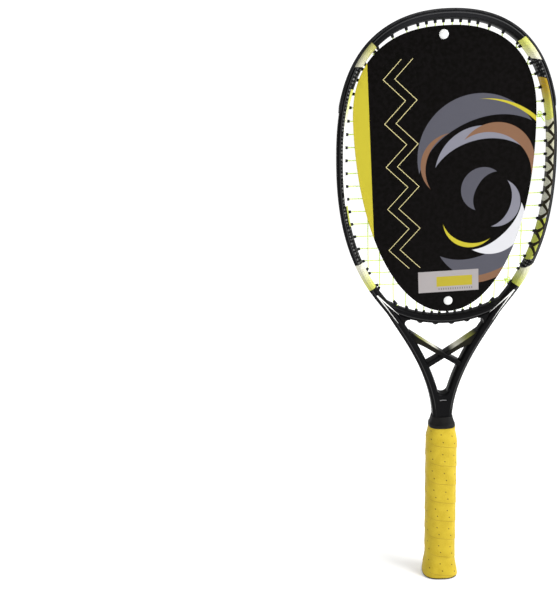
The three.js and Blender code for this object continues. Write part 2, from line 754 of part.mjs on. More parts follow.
// Heights at which the layers of the handle change their taper
const flareHeights = flareShares.map((share) => share * flareLength);
const neckHeights = neckShares.map((share) => gripTopZ - neckLength * share);
const inside = (low, high) => (z) => z > low + fit && z < high - fit;
const skirtHeights = (low, high) => [low, ...flareHeights.slice(0, 2).filter(inside(low, high)), high];
const palletHeights = (low, high) => [low, ...flareHeights.slice(3).filter(inside(low, high)),
  ...neckHeights.filter(inside(low, high)), high];
const tapeHeights = (low, high) => [low, ...flareHeights.filter(inside(low, high)),
  ...neckHeights.filter(inside(low, high)), high];

function tapeBore(inset, low) {
  const heights = tapeHeights(low, gripTopZ).slice(1);
  return handleLayer(inset, [low - cutOverrun / 4, ...heights, gripTopZ + cutOverrun]);
}

function overgrip() {
  const low = capPlate + fit;
  const rows = Math.ceil(((gripTopZ - low) * rowsPerWrap) / wrapPitch);
  const rings = [];
  for (let r = 0; r <= rows; r += 1) {
    const z = low + ((gripTopZ - low) * r) / rows;
    const ring = handleRing(z, 0);
    rings.push(ring.map((p, k) => {
      const turn = (((z / wrapPitch + k / gripSides) % 1) + 1) % 1;
      const lift = wrapStep * (1 - THREE.MathUtils.smoothstep(turn, 0, 1 - wrapStepLength / wrapPitch));
      const out = new THREE.Vector3(p.x, p.y, 0).normalize();
      return p.clone().addScaledVector(out, lift - wrapStep);
    }));
  }
  const outer = solid(loft(rings, flatRing(rings[0])));
  return outer.subtract(tapeBore(overgripThickness, low));
}

function baseGrip() {
  const low = capPlate + fit;
  const outer = handleLayer(baseInset, tapeHeights(low, gripTopZ - fit));
  return outer.subtract(tapeBore(baseInset + baseGripThickness, low));
}

const skirtTop = capPlate + capSkirt;

function buttCap() {
  const plate = handleLayer(0, [0, buttRound / 3, capPlate]);
  const skirt = handleLayer(foamInset, skirtHeights(capPlate - weldOverlap, skirtTop), palletSides);
  const room = handleLayer(foamInset + capWall, skirtHeights(capPlate, skirtTop + cutOverrun), palletSides);
  return plate.add(skirt.subtract(room));
}

function handleFoam() {
  const low = capPlate + fit;
  const upper = handleLayer(foamInset, palletHeights(skirtTop + fit, gripTopZ - fit), palletSides);
  const lower = handleLayer(foamInset + capWall + fit, skirtHeights(low, skirtTop + cutOverrun), palletSides);
  return upper.add(lower).subtract(shaftRoom);
}

function gripCollar() {
  const low = gripTopZ + fit;
  const breakZ = low + (collarTopZ - low) * collarBreakShare;
  const rings = [
    [low, collarBottomWidth, collarBottomDepth],
    [breakZ, collarBottomWidth - collarBandTaper, collarBottomDepth - collarBandTaper],
    [collarTopZ - collarEdge, collarTopWidth, collarTopDepth],
    [collarTopZ, collarTopWidth - collarEdge, collarTopDepth - collarEdge],
  ].map(([z, width, depth]) => squareRing(z, width / 2, depth / 2));
  const [lowZ, highZ, half] = [shaftTopZ - cutOverrun, collarTopZ + cutOverrun, shaftWidth / 4];
  const webRoom = prism([[-half, lowZ], [half, lowZ], [half, highZ], [-half, highZ]],
    crotchDepth + 2 * fit);
  return solid(loft(rings, flatRing(rings[0]))).subtract(tubeRoom).subtract(webRoom);
}

// Display card

const cardHalfWidth = headOuterWidth / 2 - cardSideGap;
const cardTopZ = overallLength - cardTopGap;
const cardBottomZ = bridgeLowestZ + cardBottomRise;

function cardOutline() {
  const widestZ = cardTopZ - (cardTopZ - cardBottomZ) * cardWidestShare;
  const quarter = (height, power) => Array.from({ length: cardSteps - 1 }, (_, i) => {
    const angle = (Math.PI / 2) * ((i + 1) / cardSteps);
    const [across, up] = [Math.cos(angle), Math.sin(angle)].map((v) => v ** (2 / power));
    return [cardHalfWidth * across, widestZ + height * up];
  });
  const mirror = (points) => points.map(([x, z]) => [-x, z]);
  const upper = quarter(cardTopZ - widestZ, cardTopPower);
  const lower = quarter(cardBottomZ - widestZ, cardBottomPower);
  return [[cardHalfWidth, widestZ], ...upper, [0, cardTopZ], ...mirror(upper).reverse(),
    [-cardHalfWidth, widestZ], ...mirror(lower), [0, cardBottomZ], ...lower.reverse()];
}

const cardMiddleZ = (cardTopZ + cardBottomZ) / 2;
const tilt = (x, z) => {
  const [c, s] = [Math.cos(cardTilt * degrees), Math.sin(cardTilt * degrees)];
  return [cardMiddleX + x * c - (z - cardMiddleZ) * s, cardMiddleZ + x * s + (z - cardMiddleZ) * c];
};

const rivets = [
  { name: "top", x: -mainXs[0], z: cardTopZ - rivetTopDrop },
  { name: "bottom", x: mainXs[0], z: cardBottomZ + rivetBottomRise },
];
const prongReach = prongGap / 2 + prongThickness;

function displayCard() {
  const y = cardBackY - cardThickness / 2;
  const holes = rivets.map(({ x, z }) => rod(
    new THREE.Vector3(x, y - cardThickness, z), new THREE.Vector3(x, y + cardThickness, z),
    prongReach + 2 * fit, cardHoleSides));
  return cut(prism(cardOutline().map(([x, z]) => tilt(x, z)), cardThickness, y), holes);
}

// A domed head in front of the card and two prongs that straddle a main
function cardRivet({ x, z }) {
  const profile = [[0, 0], ...rivetDomeShares, [0, 1]]
    .map(([r, h]) => new THREE.Vector2(r * rivetHeadRadius, h * rivetHeadHeight));
  const head = new THREE.LatheGeometry(profile, rivetSides);
  head.rotateX(Math.PI);
  const headY = cardBackY - cardThickness - fit;
  head.translate(x, headY, z);
  const tipY = retainerY + retainerThickness + 2 * fit;
  const prongs = [-1, 1].map((sign) => {
    const middle = x + sign * (prongGap / 2 + prongThickness / 2);
    return box(
      new THREE.Vector3(middle - prongThickness / 2, headY - rivetHeadHeight / 4, z - prongWidth / 2),
      new THREE.Vector3(middle + prongThickness / 2, tipY, z + prongWidth / 2));
  });
  return joined([solid(head), ...prongs]);
}

// A snap disc behind the strings, slotted for the prongs
function cardRetainer({ x, z }) {
  const disc = rod(new THREE.Vector3(x, retainerY, z), new THREE.Vector3(x, retainerY + retainerThickness, z),
    retainerRadius, retainerSides);
  const slots = [-1, 1].map((sign) => {
    const middle = x + sign * (prongGap / 2 + prongThickness / 2);
    return box(
      new THREE.Vector3(middle - prongThickness / 2 - fit, retainerY - cutOverrun, z - prongWidth / 2 - fit),
      new THREE.Vector3(middle + prongThickness / 2 + fit, retainerY + cutOverrun, z + prongWidth / 2 + fit));
  });
  return cut(disc, slots);
}

// Scene

function finish(color, roughness, metalness = 0) {
  return new THREE.MeshStandardMaterial({ color, roughness, metalness });
}

const paint = finish(0x1c1c1e, 0.32);
const blackPlastic = finish(0x141414, 0.5);
const stringFinish = finish(0xc8e66e, 0.35);
const yellowGrip = finish(0xdec846, 0.7);
const foam = finish(0x3a3a38, 0.9);
const rubber = finish(0x101010, 0.75);
const card = finish(0x100e0c, 0.45);
const whitePlastic = finish(0xf2f2f0, 0.4);

const racket = new THREE.Group();
racket.name = "racket";

function add(name, manifold, material) {
  const mesh = new THREE.Mesh(geometryOf(manifold), material);
  mesh.name = name;
  racket.add(mesh);
}

const lengths = frameLengths();
const struts = crossStruts();
add("frame_crown", lengths.crown, paint);
add("frame_side_left", lengths.left, paint);
add("frame_side_right", lengths.right, paint);
add("frame_fork", lengths.fork, paint);
add("throat_bridge", throatBridge(), paint);
add("brace_strut_front", struts.front, paint);
add("brace_strut_back", struts.back, paint);
add("bumper_guard", bumperGuard(), blackPlastic);
add("grommet_strip_left", sideStrip("left", leftRail), blackPlastic);
add("grommet_strip_right", sideStrip("right", rightRail), blackPlastic);
add("grommet_strip_throat", sideStrip("throat", throatRail), blackPlastic);
add("main_string", mainString(), stringFinish);
add("cross_string", crossString(), stringFinish);
add("handle_foam", handleFoam(), foam);
add("butt_cap", buttCap(), blackPlastic);
add("base_grip", baseGrip(), foam);
add("overgrip", overgrip(), yellowGrip);
add("grip_collar", gripCollar(), rubber);
add("display_card", displayCard(), card);
for (const rivet of rivets) {
  add(`card_rivet_${rivet.name}`, cardRivet(rivet), whitePlastic);
  add(`card_retainer_${rivet.name}`, cardRetainer(rivet), whitePlastic);
}

export default racket;
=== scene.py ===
# %% [markdown]
# # A crossminton racket with its display card
#
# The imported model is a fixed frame: it says where every piece sits and what moves. Here each
# piece gets its real surface. The tube is rebuilt on a fine curve with soft edges, the strings
# are woven, the tape is wound in a spiral, and every material is mixed from procedural nodes.

# %% Load the frame
import bisect
import math

import bmesh
import bpy
from mathutils import Matrix, Vector


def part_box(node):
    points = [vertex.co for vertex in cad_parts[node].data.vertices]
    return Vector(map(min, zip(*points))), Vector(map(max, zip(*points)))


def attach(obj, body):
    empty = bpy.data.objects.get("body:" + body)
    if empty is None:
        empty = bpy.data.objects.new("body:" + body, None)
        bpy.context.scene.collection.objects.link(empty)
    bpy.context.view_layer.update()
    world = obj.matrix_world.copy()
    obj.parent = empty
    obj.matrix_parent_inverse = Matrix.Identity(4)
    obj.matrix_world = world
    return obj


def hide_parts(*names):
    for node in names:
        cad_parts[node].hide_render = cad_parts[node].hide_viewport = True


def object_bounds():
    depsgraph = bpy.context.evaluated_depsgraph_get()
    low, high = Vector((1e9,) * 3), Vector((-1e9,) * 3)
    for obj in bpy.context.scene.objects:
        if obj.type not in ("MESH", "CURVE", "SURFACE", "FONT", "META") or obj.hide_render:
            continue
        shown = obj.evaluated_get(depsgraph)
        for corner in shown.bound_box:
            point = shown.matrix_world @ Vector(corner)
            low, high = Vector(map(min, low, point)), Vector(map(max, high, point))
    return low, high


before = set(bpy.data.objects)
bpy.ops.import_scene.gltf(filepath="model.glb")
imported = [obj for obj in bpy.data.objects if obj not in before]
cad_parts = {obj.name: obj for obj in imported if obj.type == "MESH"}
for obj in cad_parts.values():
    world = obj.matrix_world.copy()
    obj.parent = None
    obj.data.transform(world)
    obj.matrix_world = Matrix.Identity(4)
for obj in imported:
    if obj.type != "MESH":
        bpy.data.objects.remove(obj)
cad_low, cad_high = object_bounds()

MM = 0.001
print("CAD box in mm:", [round(v / MM, 1) for v in (*cad_low, *cad_high)])

# %% [markdown]
# ## Camera
#
# The photograph was taken from a little above the head and left of it, looking slightly down.
# The camera's place and its three axes come from fitting about sixty points of the racket.
# A matrix says this more exactly than a location and an aim would.

# %% Camera
CAMERA_PLACE = Vector((-0.15843, -0.80618, 0.53035))
CAMERA_RIGHT = Vector((0.99934, 0.00663, -0.03558))
CAMERA_UP = Vector((0.03283, 0.24768, 0.96828))
CAMERA_BACK = Vector((0.01523, -0.96882, 0.24730))
CAMERA_LENS = 48.0


def add_object(name, data):
    made = bpy.data.objects.new(name, data)
    bpy.context.scene.collection.objects.link(made)
    return made


def add_camera():
    data = bpy.data.cameras.new("camera")
    data.lens = CAMERA_LENS
    camera = add_object("camera", data)
    axes = Matrix((CAMERA_RIGHT, CAMERA_UP, CAMERA_BACK)).transposed()
    camera.matrix_world = Matrix.Translation(CAMERA_PLACE) @ axes.to_4x4()
    bpy.context.scene.camera = camera
    return camera


print("camera at", tuple(add_camera().location))

# %% [markdown]
# ## Nodes in a few words
#
# Materials are node trees. A `Field` is one output in such a tree, and it can be added,
# multiplied and mixed like a number, so a formula in nodes reads like a formula in Python.

# %% Node helpers
def put(tree, socket, value):
    """Gives a socket a link or a plain value."""
    if isinstance(value, Field):
        tree.links.new(value.socket, socket)
    else:
        socket.default_value = (*value, 1.0) if socket.type == "RGBA" else value


def add(tree, kind, *values, output=0, **settings):
    """Adds a node, sets its inputs in their order, and returns one of its outputs."""
    node = tree.nodes.new("ShaderNode" + kind)
    for name, value in settings.items():
        setattr(node, name, value)
    for socket, value in zip(node.inputs, values):
        if value is not None:
            put(tree, socket, value)
    return Field(tree, node.outputs[output])


def step(operation, turned=False):
    """A method that adds one Math node. Turned, the field itself is the last value."""
    def apply(self, *others):
        values = (*others, self) if turned else (self, *others)
        return add(self.tree, "Math", *values, operation=operation)
    return apply


class Field:
    """A number or a colour that changes over a surface."""

    def __init__(self, tree, socket):
        self.tree, self.socket = tree, socket

    __add__, __sub__, __mul__, __truediv__ = map(step, ("ADD", "SUBTRACT", "MULTIPLY", "DIVIDE"))
    __radd__, __rsub__ = step("ADD"), step("SUBTRACT", turned=True)
    __abs__, sine, fraction, root = map(step, ("ABSOLUTE", "SINE", "FRACT", "SQRT"))
    pingpong, wrap, arctan = map(step, ("PINGPONG", "WRAP", "ARCTAN2"))

    def held(self):
        """The field kept between 0 and 1."""
        return add(self.tree, "Math", self, 0.0, operation="ADD", use_clamp=True)

    def rise(self, start, end):
        """0 below start, 1 above end, and a soft rise between them."""
        return add(self.tree, "MapRange", self, start, end, 0.0, 1.0, interpolation_type="SMOOTHSTEP")

    def mix(self, first, second):
        """The first colour where the field is 0, the second where it is 1."""
        unused = [None] * 5
        return add(self.tree, "Mix", self, *unused, first, second, output=2, data_type="RGBA")


def attribute_of(tree, name):
    return add(tree, "Attribute", output="Fac", attribute_name=name)


def place_of(tree):
    return add(tree, "TexCoord", output="Object")


def axes_of(tree):
    """The three coordinates on a piece, in metres."""
    split = add(tree, "SeparateXYZ", place_of(tree)).socket.node
    return [Field(tree, socket) for socket in split.outputs]


def length_of(a, b):
    return (a * a + b * b).root()


def srgb(red, green, blue):
    """A colour read on a screen from 0 to 255, as the linear numbers that shaders use."""
    def linear(v):
        share = v / 255
        return share / 12.92 if share <= 0.04045 else ((share + 0.055) / 1.055) ** 2.4
    return (linear(red), linear(green), linear(blue))


print("lime in linear numbers:", [round(v, 3) for v in srgb(200, 230, 110)])

# %% [markdown]
# ## Shared effects
#
# Grain, woven carbon, worn edges, painted strokes and soft bands turn up in several materials.
# Each is a node group, made once, with named inputs. A group only puts out masks and heights.
# The shader itself stays in each material.

# %% Node groups
def label_of(key):
    return key.replace("_", " ").capitalize()


def group(name, outputs=("Mask",), **inputs):
    """Turns a formula into a node group that has the formula's inputs."""
    def build(formula):
        tree = bpy.data.node_groups.new(name, "ShaderNodeTree")
        for key, value in inputs.items():
            socket = tree.interface.new_socket(label_of(key), in_out="INPUT", socket_type="NodeSocketFloat")
            socket.default_value = value
        for label in outputs:
            tree.interface.new_socket(label, in_out="OUTPUT", socket_type="NodeSocketFloat")
        given = tree.nodes.new("NodeGroupInput").outputs
        results = formula(*(Field(tree, socket) for _, socket in zip(inputs, given)))
        for socket, result in zip(tree.nodes.new("NodeGroupOutput").inputs, results):
            put(tree, socket, result)
        return tree
    return build


def use(tree, shared, **values):
    """Places a group and returns its output, or a list of them when it has more than one."""
    node = tree.nodes.new("ShaderNodeGroup")
    node.node_tree = shared
    for key, value in values.items():
        put(tree, node.inputs[label_of(key)], value)
    fields = [Field(tree, socket) for socket in node.outputs]
    return fields if len(fields) > 1 else fields[0]


@group("band", value=0.0, start=0.0, end=1.0, softness=0.3)
def band(value, start, end, softness):
    """1 where a value lies between two others, with soft ends."""
    half = softness * 0.5
    return [(value.rise(start - half, start + half) - value.rise(end - half, end + half)).held()]


@group("grain", outputs=("Height", "Mask"), scale=900.0, detail=3.0, stretch=1.0)
def grain(scale, detail, stretch):
    """Fine noise, as a height and as a mask round the middle of it."""
    x, y, z = axes_of(scale.tree)
    place = add(scale.tree, "CombineXYZ", x, y, z / stretch)
    noise = add(scale.tree, "TexNoise", place, None, scale, detail)
    return [noise, noise.rise(0.35, 0.65)]


@group("weave", along=0.0, across=0.0, pitch=1.5)
def weave(along, across, pitch):
    """Diamonds of woven tows, from two distances over the surface in millimetres."""
    turn = math.pi / math.sqrt(2)
    rising, falling = ((slant / pitch * turn).sine() for slant in (along + across, along - across))
    return [(rising * falling).rise(0.0, 0.7)]


@group("edge wear and sheen", amount=0.5, scale=300.0)
def edge_wear_and_sheen(amount, scale):
    """Bright on convex edges, broken up by noise: edge wear, and partly a painted edge highlight."""
    edge = add(scale.tree, "NewGeometry", output="Pointiness").rise(0.51, 0.6)
    noise = add(scale.tree, "TexNoise", place_of(scale.tree), None, scale)
    return [(edge * noise.rise(0.3, 0.7) * amount).held()]


@group("stroke", u=0.0, v=0.0, u0=0.0, v0=0.0, u1=1.0, v1=1.0, half=0.5, tail=0.0)
def stroke(u, v, u0, v0, u1, v1, half, tail):
    """A stroke between two points of a plane, in millimetres. It narrows towards its far end,
    to nothing when the tail is 1 and not at all when it is 0."""
    du, dv, pu, pv = u1 - u0, v1 - v0, u - u0, v - v0
    share = ((pu * du + pv * dv) / (du * du + dv * dv)).held()
    distance = length_of(pu - du * share, pv - dv * share)
    return [(half * (1.0 - share * tail) - distance).rise(-0.08, 0.12)]


@group("swoosh", u=0.0, v=0.0, centre_u=0.0, centre_v=0.0, radius=30.0, half=4.0, towards=90.0, sweep=60.0)
def swoosh(u, v, centre_u, centre_v, radius, half, towards, sweep):
    """A tapering arc: part of a ring round a point, thickest in its middle."""
    du, dv = u - centre_u, v - centre_v
    turned = (dv.arctan(du) * (180 / math.pi) - towards).wrap(180.0, -180.0)
    share = ((turned + sweep) / (sweep * 2.0)).held()
    off = abs(length_of(du, dv) - radius)
    return [(half * (share * math.pi).sine() - off).rise(0.0, 0.5)]


def within(value, start, end, softness):
    return use(value.tree, band, value=value, start=start, end=end, softness=softness)


print("node groups:", [shared.name for shared in (band, grain, weave, edge_wear_and_sheen, stroke, swoosh)])

# %% Material helpers
def new_material(name):
    material = bpy.data.materials.new(name)
    material.use_nodes = True
    return material, material.node_tree


def varied(value, mask, amount):
    """A value that a mask moves up and down by an amount."""
    return (mask - 0.5) * amount + value


def finish(material, colour, roughness, relief=(), constants=None):
    """Feeds the material's shader. Relief is a height, a strength and a distance in metres."""
    tree = material.node_tree
    sockets = tree.nodes["Principled BSDF"].inputs
    for label, value in {"Base Color": colour, "Roughness": roughness, **(constants or {})}.items():
        put(tree, sockets[label], value)
    if relief:
        bump = tree.nodes.new("ShaderNodeBump")
        for label, value in zip(("Height", "Strength", "Distance"), relief):
            put(tree, bump.inputs[label], value)
        put(tree, sockets["Normal"], Field(tree, bump.outputs[0]))
    return material


def speckled(name, dark, light, roughness, spread, relief, fine, broad=None, scuffs_and_sheen=None, constants=None):
    """Two mixed tones. The fine grain gives the relief. The broad one, or else the fine one,
    gives tones and roughness. Scuffs and sheen are a colour, an amount and a scale: a paler
    colour on convex edges, partly scuffs and partly a painted edge highlight."""
    material, tree = new_material(name)
    height, mask = use(tree, grain, **fine)
    if broad:
        _, mask = use(tree, grain, **broad)
    colour = mask.mix(dark, light)
    if scuffs_and_sheen:
        tone, amount, scale = scuffs_and_sheen
        colour = use(tree, edge_wear_and_sheen, amount=amount, scale=scale).mix(colour, tone)
    return finish(material, colour, varied(roughness, mask, spread), (height, *relief), constants)


# %% [markdown]
# ## Room
#
# The racket stands in front of white, with soft light from all round and a brighter side on the
# right. The camera sees the white world brighter than it lights. Large area lights give the
# shine along the edges. The pale floor catches the soft shadow round the butt, and it glows more
# the further away it is, until it meets the white.

# %% Floor, world and lights
FLOOR_SIZE = 240.0
WORLD_STRENGTH, SEEN_STRENGTH = 0.5, 1.15
NEAR_GLOW, FAR_GLOW = 0.14, 0.56
GLOW_START, GLOW_END = 0.1, 1.3
# name, place, height of the aim, size, watts
SOFTBOXES = [
    ("right_key", (1.3, -0.7, 1.2), 0.35, 1.3, 42),
    ("left_fill", (-1.5, -0.9, 0.9), 0.4, 0.8, 4),
    ("top_light", (0.1, 0.2, 1.9), 0.5, 1.0, 9),
]


def add_floor():
    material, tree = new_material("pale_floor")
    _, specks = use(tree, grain, scale=60.0, detail=2.0)
    x, y, _ = axes_of(tree)
    glow = length_of(x, y).rise(GLOW_START, GLOW_END) * (FAR_GLOW - NEAR_GLOW) + NEAR_GLOW
    finish(material, specks.mix((0.93, 0.93, 0.93), (0.95, 0.95, 0.95)), 0.9, constants={
        "Specular IOR Level": 0.1, "Emission Color": (1.0, 1.0, 1.0), "Emission Strength": glow})
    half = FLOOR_SIZE / 2
    mesh = bpy.data.meshes.new("floor")
    corners = [(-half, -half, 0), (half, -half, 0), (half, half, 0), (-half, half, 0)]
    mesh.from_pydata(corners, [], [(0, 1, 2, 3)])
    mesh.materials.append(material)
    floor = add_object("floor", mesh)


def add_world():
    world = bpy.data.worlds.new("white_room")
    world.use_nodes = True
    tree = world.node_tree
    colour, strength = tree.nodes["Background"].inputs[:2]
    put(tree, colour, (1.0, 1.0, 1.0))
    seen = add(tree, "LightPath", output="Is Camera Ray")
    put(tree, strength, seen * (SEEN_STRENGTH - WORLD_STRENGTH) + WORLD_STRENGTH)
    bpy.context.scene.world = world


def add_softbox(name, place, aim_height, size, watts):
    data = bpy.data.lights.new(name, "AREA")
    data.shape = "DISK"
    data.size = size
    data.energy = watts
    lamp = add_object(name, data)
    lamp.location = place
    lamp.rotation_euler = (Vector((0, 0, aim_height)) - Vector(place)).to_track_quat("-Z", "Y").to_euler()


add_floor()
add_world()
for softbox in SOFTBOXES:
    add_softbox(*softbox)
bpy.context.scene.view_settings.view_transform = "Standard"

# %% [markdown]
# ## Meshes from outlines
#
# Nearly every piece of a racket is a section that travels along a line, so the workhorse is a
# loft: rings of points joined by quads, closed at both ends. A piece may be several such shells
# in one mesh. `piece` makes the object, makes it ride on its body, and hides the nodes it
# stands for.

# %% Mesh helpers
Y_AXIS = Vector((0, 1, 0))


def loft(rings, ends=True, marks=None):
    """Points, faces and marks of rings that have the same number of points."""
    count = len(rings[0])
    faces = []
    for r in range(len(rings) - 1):
        for i in range(count):
            j = (i + 1) % count
            faces.append((r * count + i, r * count + j, (r + 1) * count + j, (r + 1) * count + i))
    if ends:
        last = (len(rings) - 1) * count
        faces += [tuple(range(count - 1, -1, -1)), tuple(range(last, last + count))]
    return [point for ring in rings for point in ring], faces, marks or {}


def around(count, offset=0.0):
    """Angles of a full circle."""
    return [2 * math.pi * (k + offset) / count for k in range(count)]


def circle(centre, across, up, radius, sides):
    """Points round a centre, in the plane of two directions."""
    return [centre + (across * math.cos(a) + up * math.sin(a)) * radius for a in around(sides)]


def lathe(centre, axis, across, profile, sides):
    """A turned shape. The profile is (distance along the axis, radius)."""
    return loft([circle(centre + axis * distance, across, axis.cross(across), radius, sides)
                 for distance, radius in profile])


def piece(name, shells, material, slot, *stands_for, body="racket", crease=35, others=()):
    """One object made of shells, each of them points in millimetres, faces and marks."""
    points, faces, marks = [], [], {key: [] for shell in shells for key in shell[2]}
    for shell_points, shell_faces, shell_marks in shells:
        first = len(points)
        points += [Vector(p) * MM for p in shell_points]
        faces += [tuple(first + i for i in face) for face in shell_faces]
        for key, values in marks.items():
            values += shell_marks.get(key, [0.0] * len(shell_points))
    mesh = bpy.data.meshes.new(name)
    mesh.from_pydata(points, [], faces)
    for key, values in marks.items():
        mesh.attributes.new(key, "FLOAT", "POINT").data.foreach_set("value", values)
    shape = bmesh.new()
    shape.from_mesh(mesh)
    bmesh.ops.remove_doubles(shape, verts=shape.verts, dist=1e-7)
    bmesh.ops.recalc_face_normals(shape, faces=shape.faces)
    shape.to_mesh(mesh)
    shape.free()
    mesh.polygons.foreach_set("use_smooth", [True] * len(mesh.polygons))
    mesh.set_sharp_from_angle(angle=math.radians(crease))
    for one in (material, *others):
        mesh.materials.append(one)
    made = add_object(name, mesh)
    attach(made, body)
    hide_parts(*stands_for)
    print(f"{name}: {len(mesh.vertices)} points, {len(mesh.polygons)} faces")
    return made


def rounded(before, corner, after, cut, steps):
    """A corner as a short curve, which starts a cut away from it on each side."""
    to_before, to_after = before - corner, after - corner
    start = corner + to_before * min(cut / max(to_before.length, 1e-6), 0.45)
    end = corner + to_after * min(cut / max(to_after.length, 1e-6), 0.45)
    shares = [k / steps for k in range(steps + 1)]
    return [start * (1 - t) ** 2 + corner * (2 * t * (1 - t)) + end * t ** 2 for t in shares]


def soften(corners, cuts, steps=3):
    """Rounds every corner of a closed outline, with one cut for all or a list of them."""
    cuts = cuts if isinstance(cuts, list) else [cuts] * len(corners)
    following = corners[1:] + corners[:1]
    return [point for i, corner in enumerate(corners)
            for point in rounded(corners[i - 1], corner, following[i], cuts[i], steps)]


def mirrored(points):
    """Points of half a section, then the same points on the other side of its middle line."""
    return [Vector(p) for p in points] + [Vector((d, -y)) for d, y in reversed(points)]


def turned(x, y, angle):
    """A point of a plane, turned round the origin."""
    c, s = math.cos(angle), math.sin(angle)
    return x * c - y * s, x * s + y * c


def squarish(angle, wide, deep, power):
    """A point of an oval that nears a rectangle as the power grows."""
    c, s = math.cos(angle), math.sin(angle)
    return (wide * math.copysign(abs(c) ** (2 / power), c),
            deep * math.copysign(abs(s) ** (2 / power), s))


def clamped(value):
    return min(max(value, 0.0), 1.0)


def smoothstep(value, start, end):
    t = clamped((value - start) / (end - start))
    return t * t * (3 - 2 * t)


# %% [markdown]
# ## The hairpin
#
# The frame of a racket is one long tube, bent like a hairpin: up one leg, round the head and
# down the other leg. Its middle line is three cubic curves on each side. A rail holds places
# along such a line, with the outward normal and the width of the tube. Distances run from the
# crown, positive on the right. Depths are measured from the outer face of the tube inwards.

# %% Sizes of the frame
LENGTH = cad_high.z / MM
HEAD_WIDTH = 2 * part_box("frame_side_right")[1].x / MM
BRIDGE_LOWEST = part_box("throat_bridge")[0].z / MM
FIT = 0.3
TUBE_WIDTH, LEG_WIDTH, SHAFT_WIDTH, BEAM = 8.6, 9.5, 20.0, 17.0
BUMPER_WALL = 0.9
CROWN_Z = LENGTH - BUMPER_WALL - FIT - TUBE_WIDTH / 2
FLANK_X = HEAD_WIDTH / 2 - TUBE_WIDTH / 2
WIDEST_Z = BRIDGE_LOWEST + (LENGTH - BRIDGE_LOWEST) * 0.518
LEG_X, LEG_Z, LEG_LEAN = HEAD_WIDTH / 2 * 0.4841, 305.4, math.radians(30)
SHAFT_X, SHAFT_TOP_Z, FOOT_Z = 4.95, 184.0, 5.0
CROTCH_Z, CROTCH_RADIUS = 217.0, 6.6
# how far the cubic curves pull: over the crown, above and below the flank, at the leg, at the shaft
CROWN_PULL, UPPER_PULL, LOWER_PULL, LEG_PULL, SHAFT_PULL = 0.988, 0.33, 0.676, 20.0, 55.0
RAIL_STEP = 2.0


def cubic(a, b, c, d, count=400):
    points = []
    for i in range(1, count + 1):
        t = i / count
        s = 1 - t
        points.append(a * s ** 3 + b * (3 * s * s * t) + c * (3 * s * t * t) + d * t ** 3)
    return points


def running(points):
    """The distance along a line at each of its points."""
    lengths = [0.0]
    for a, b in zip(points, points[1:]):
        lengths.append(lengths[-1] + (b - a).length)
    return lengths


def evenly(points, spacing):
    """The same line with points an equal distance apart."""
    lengths = running(points)
    count = round(lengths[-1] / spacing)
    spread = []
    for k in range(count + 1):
        distance = lengths[-1] * k / count
        i = min(bisect.bisect_right(lengths, distance) - 1, len(points) - 2)
        share = (distance - lengths[i]) / (lengths[i + 1] - lengths[i])
        spread.append(points[i].lerp(points[i + 1], share))
    return spread


def tube_width(z):
    leg = TUBE_WIDTH + (LEG_WIDTH - TUBE_WIDTH) * smoothstep(-z, -(LEG_Z + 20), -(LEG_Z - 20))
    return leg + (SHAFT_WIDTH / 2 - leg) * smoothstep(-z, -CROTCH_Z, -SHAFT_TOP_Z)


# %% Rail
class Rail:
    """Places along the middle line of a bar in the XZ plane, in millimetres."""

    def __init__(self, points, normals, widths, middle):
        self.points, self.normals, self.widths = points, normals, widths
        lengths = running(points)
        self.lengths = [length - lengths[middle] for length in lengths]

    def place(self, distance):
        i = min(max(bisect.bisect_right(self.lengths, distance) - 1, 0), len(self.points) - 2)
        share = (distance - self.lengths[i]) / (self.lengths[i + 1] - self.lengths[i])
        return (self.points[i].lerp(self.points[i + 1], share),
                self.normals[i].lerp(self.normals[i + 1], share).normalized(),
                self.widths[i] + (self.widths[i + 1] - self.widths[i]) * share)

    def at(self, distance, depth, y=0.0):
        point, normal, width = self.place(distance)
        spot = point + normal * (width / 2 - depth)
        return Vector((spot.x, y, spot.y))

    def where(self, axis, value, depth, start, end, steps=300):
        """Distance at which the line at a depth reaches a coordinate, from start towards end."""
        index = "xyz".index(axis)
        before = self.at(start, depth)[index] - value
        for k in range(1, steps + 1):
            distance = start + (end - start) * k / steps
            now = self.at(distance, depth)[index] - value
            if before * now <= 0 and before != now:
                return distance - (end - start) / steps * now / (now - before)
            before = now
        raise ValueError(f"no place at {axis} {value}")

    def sweep(self, start, end, section, skew=0.0):
        """A shell whose section, a list of (depth, y), may change with the distance. With a skew
        the two end faces slant: they reach further out the deeper they are."""
        inner = [length for length in self.lengths if start + FIT < length < end - FIT]
        rings, along, depths = [], [], []
        for distance in (start, *inner, end):
            outline = section(distance)
            lean = skew * ((distance == end) - (distance == start))
            rings.append([self.at(distance + lean * depth, depth, y) for depth, y in outline])
            along += [distance] * len(outline)
            depths += [depth for depth, _ in outline]
        return loft(rings, marks={"along": along, "depth": depths})


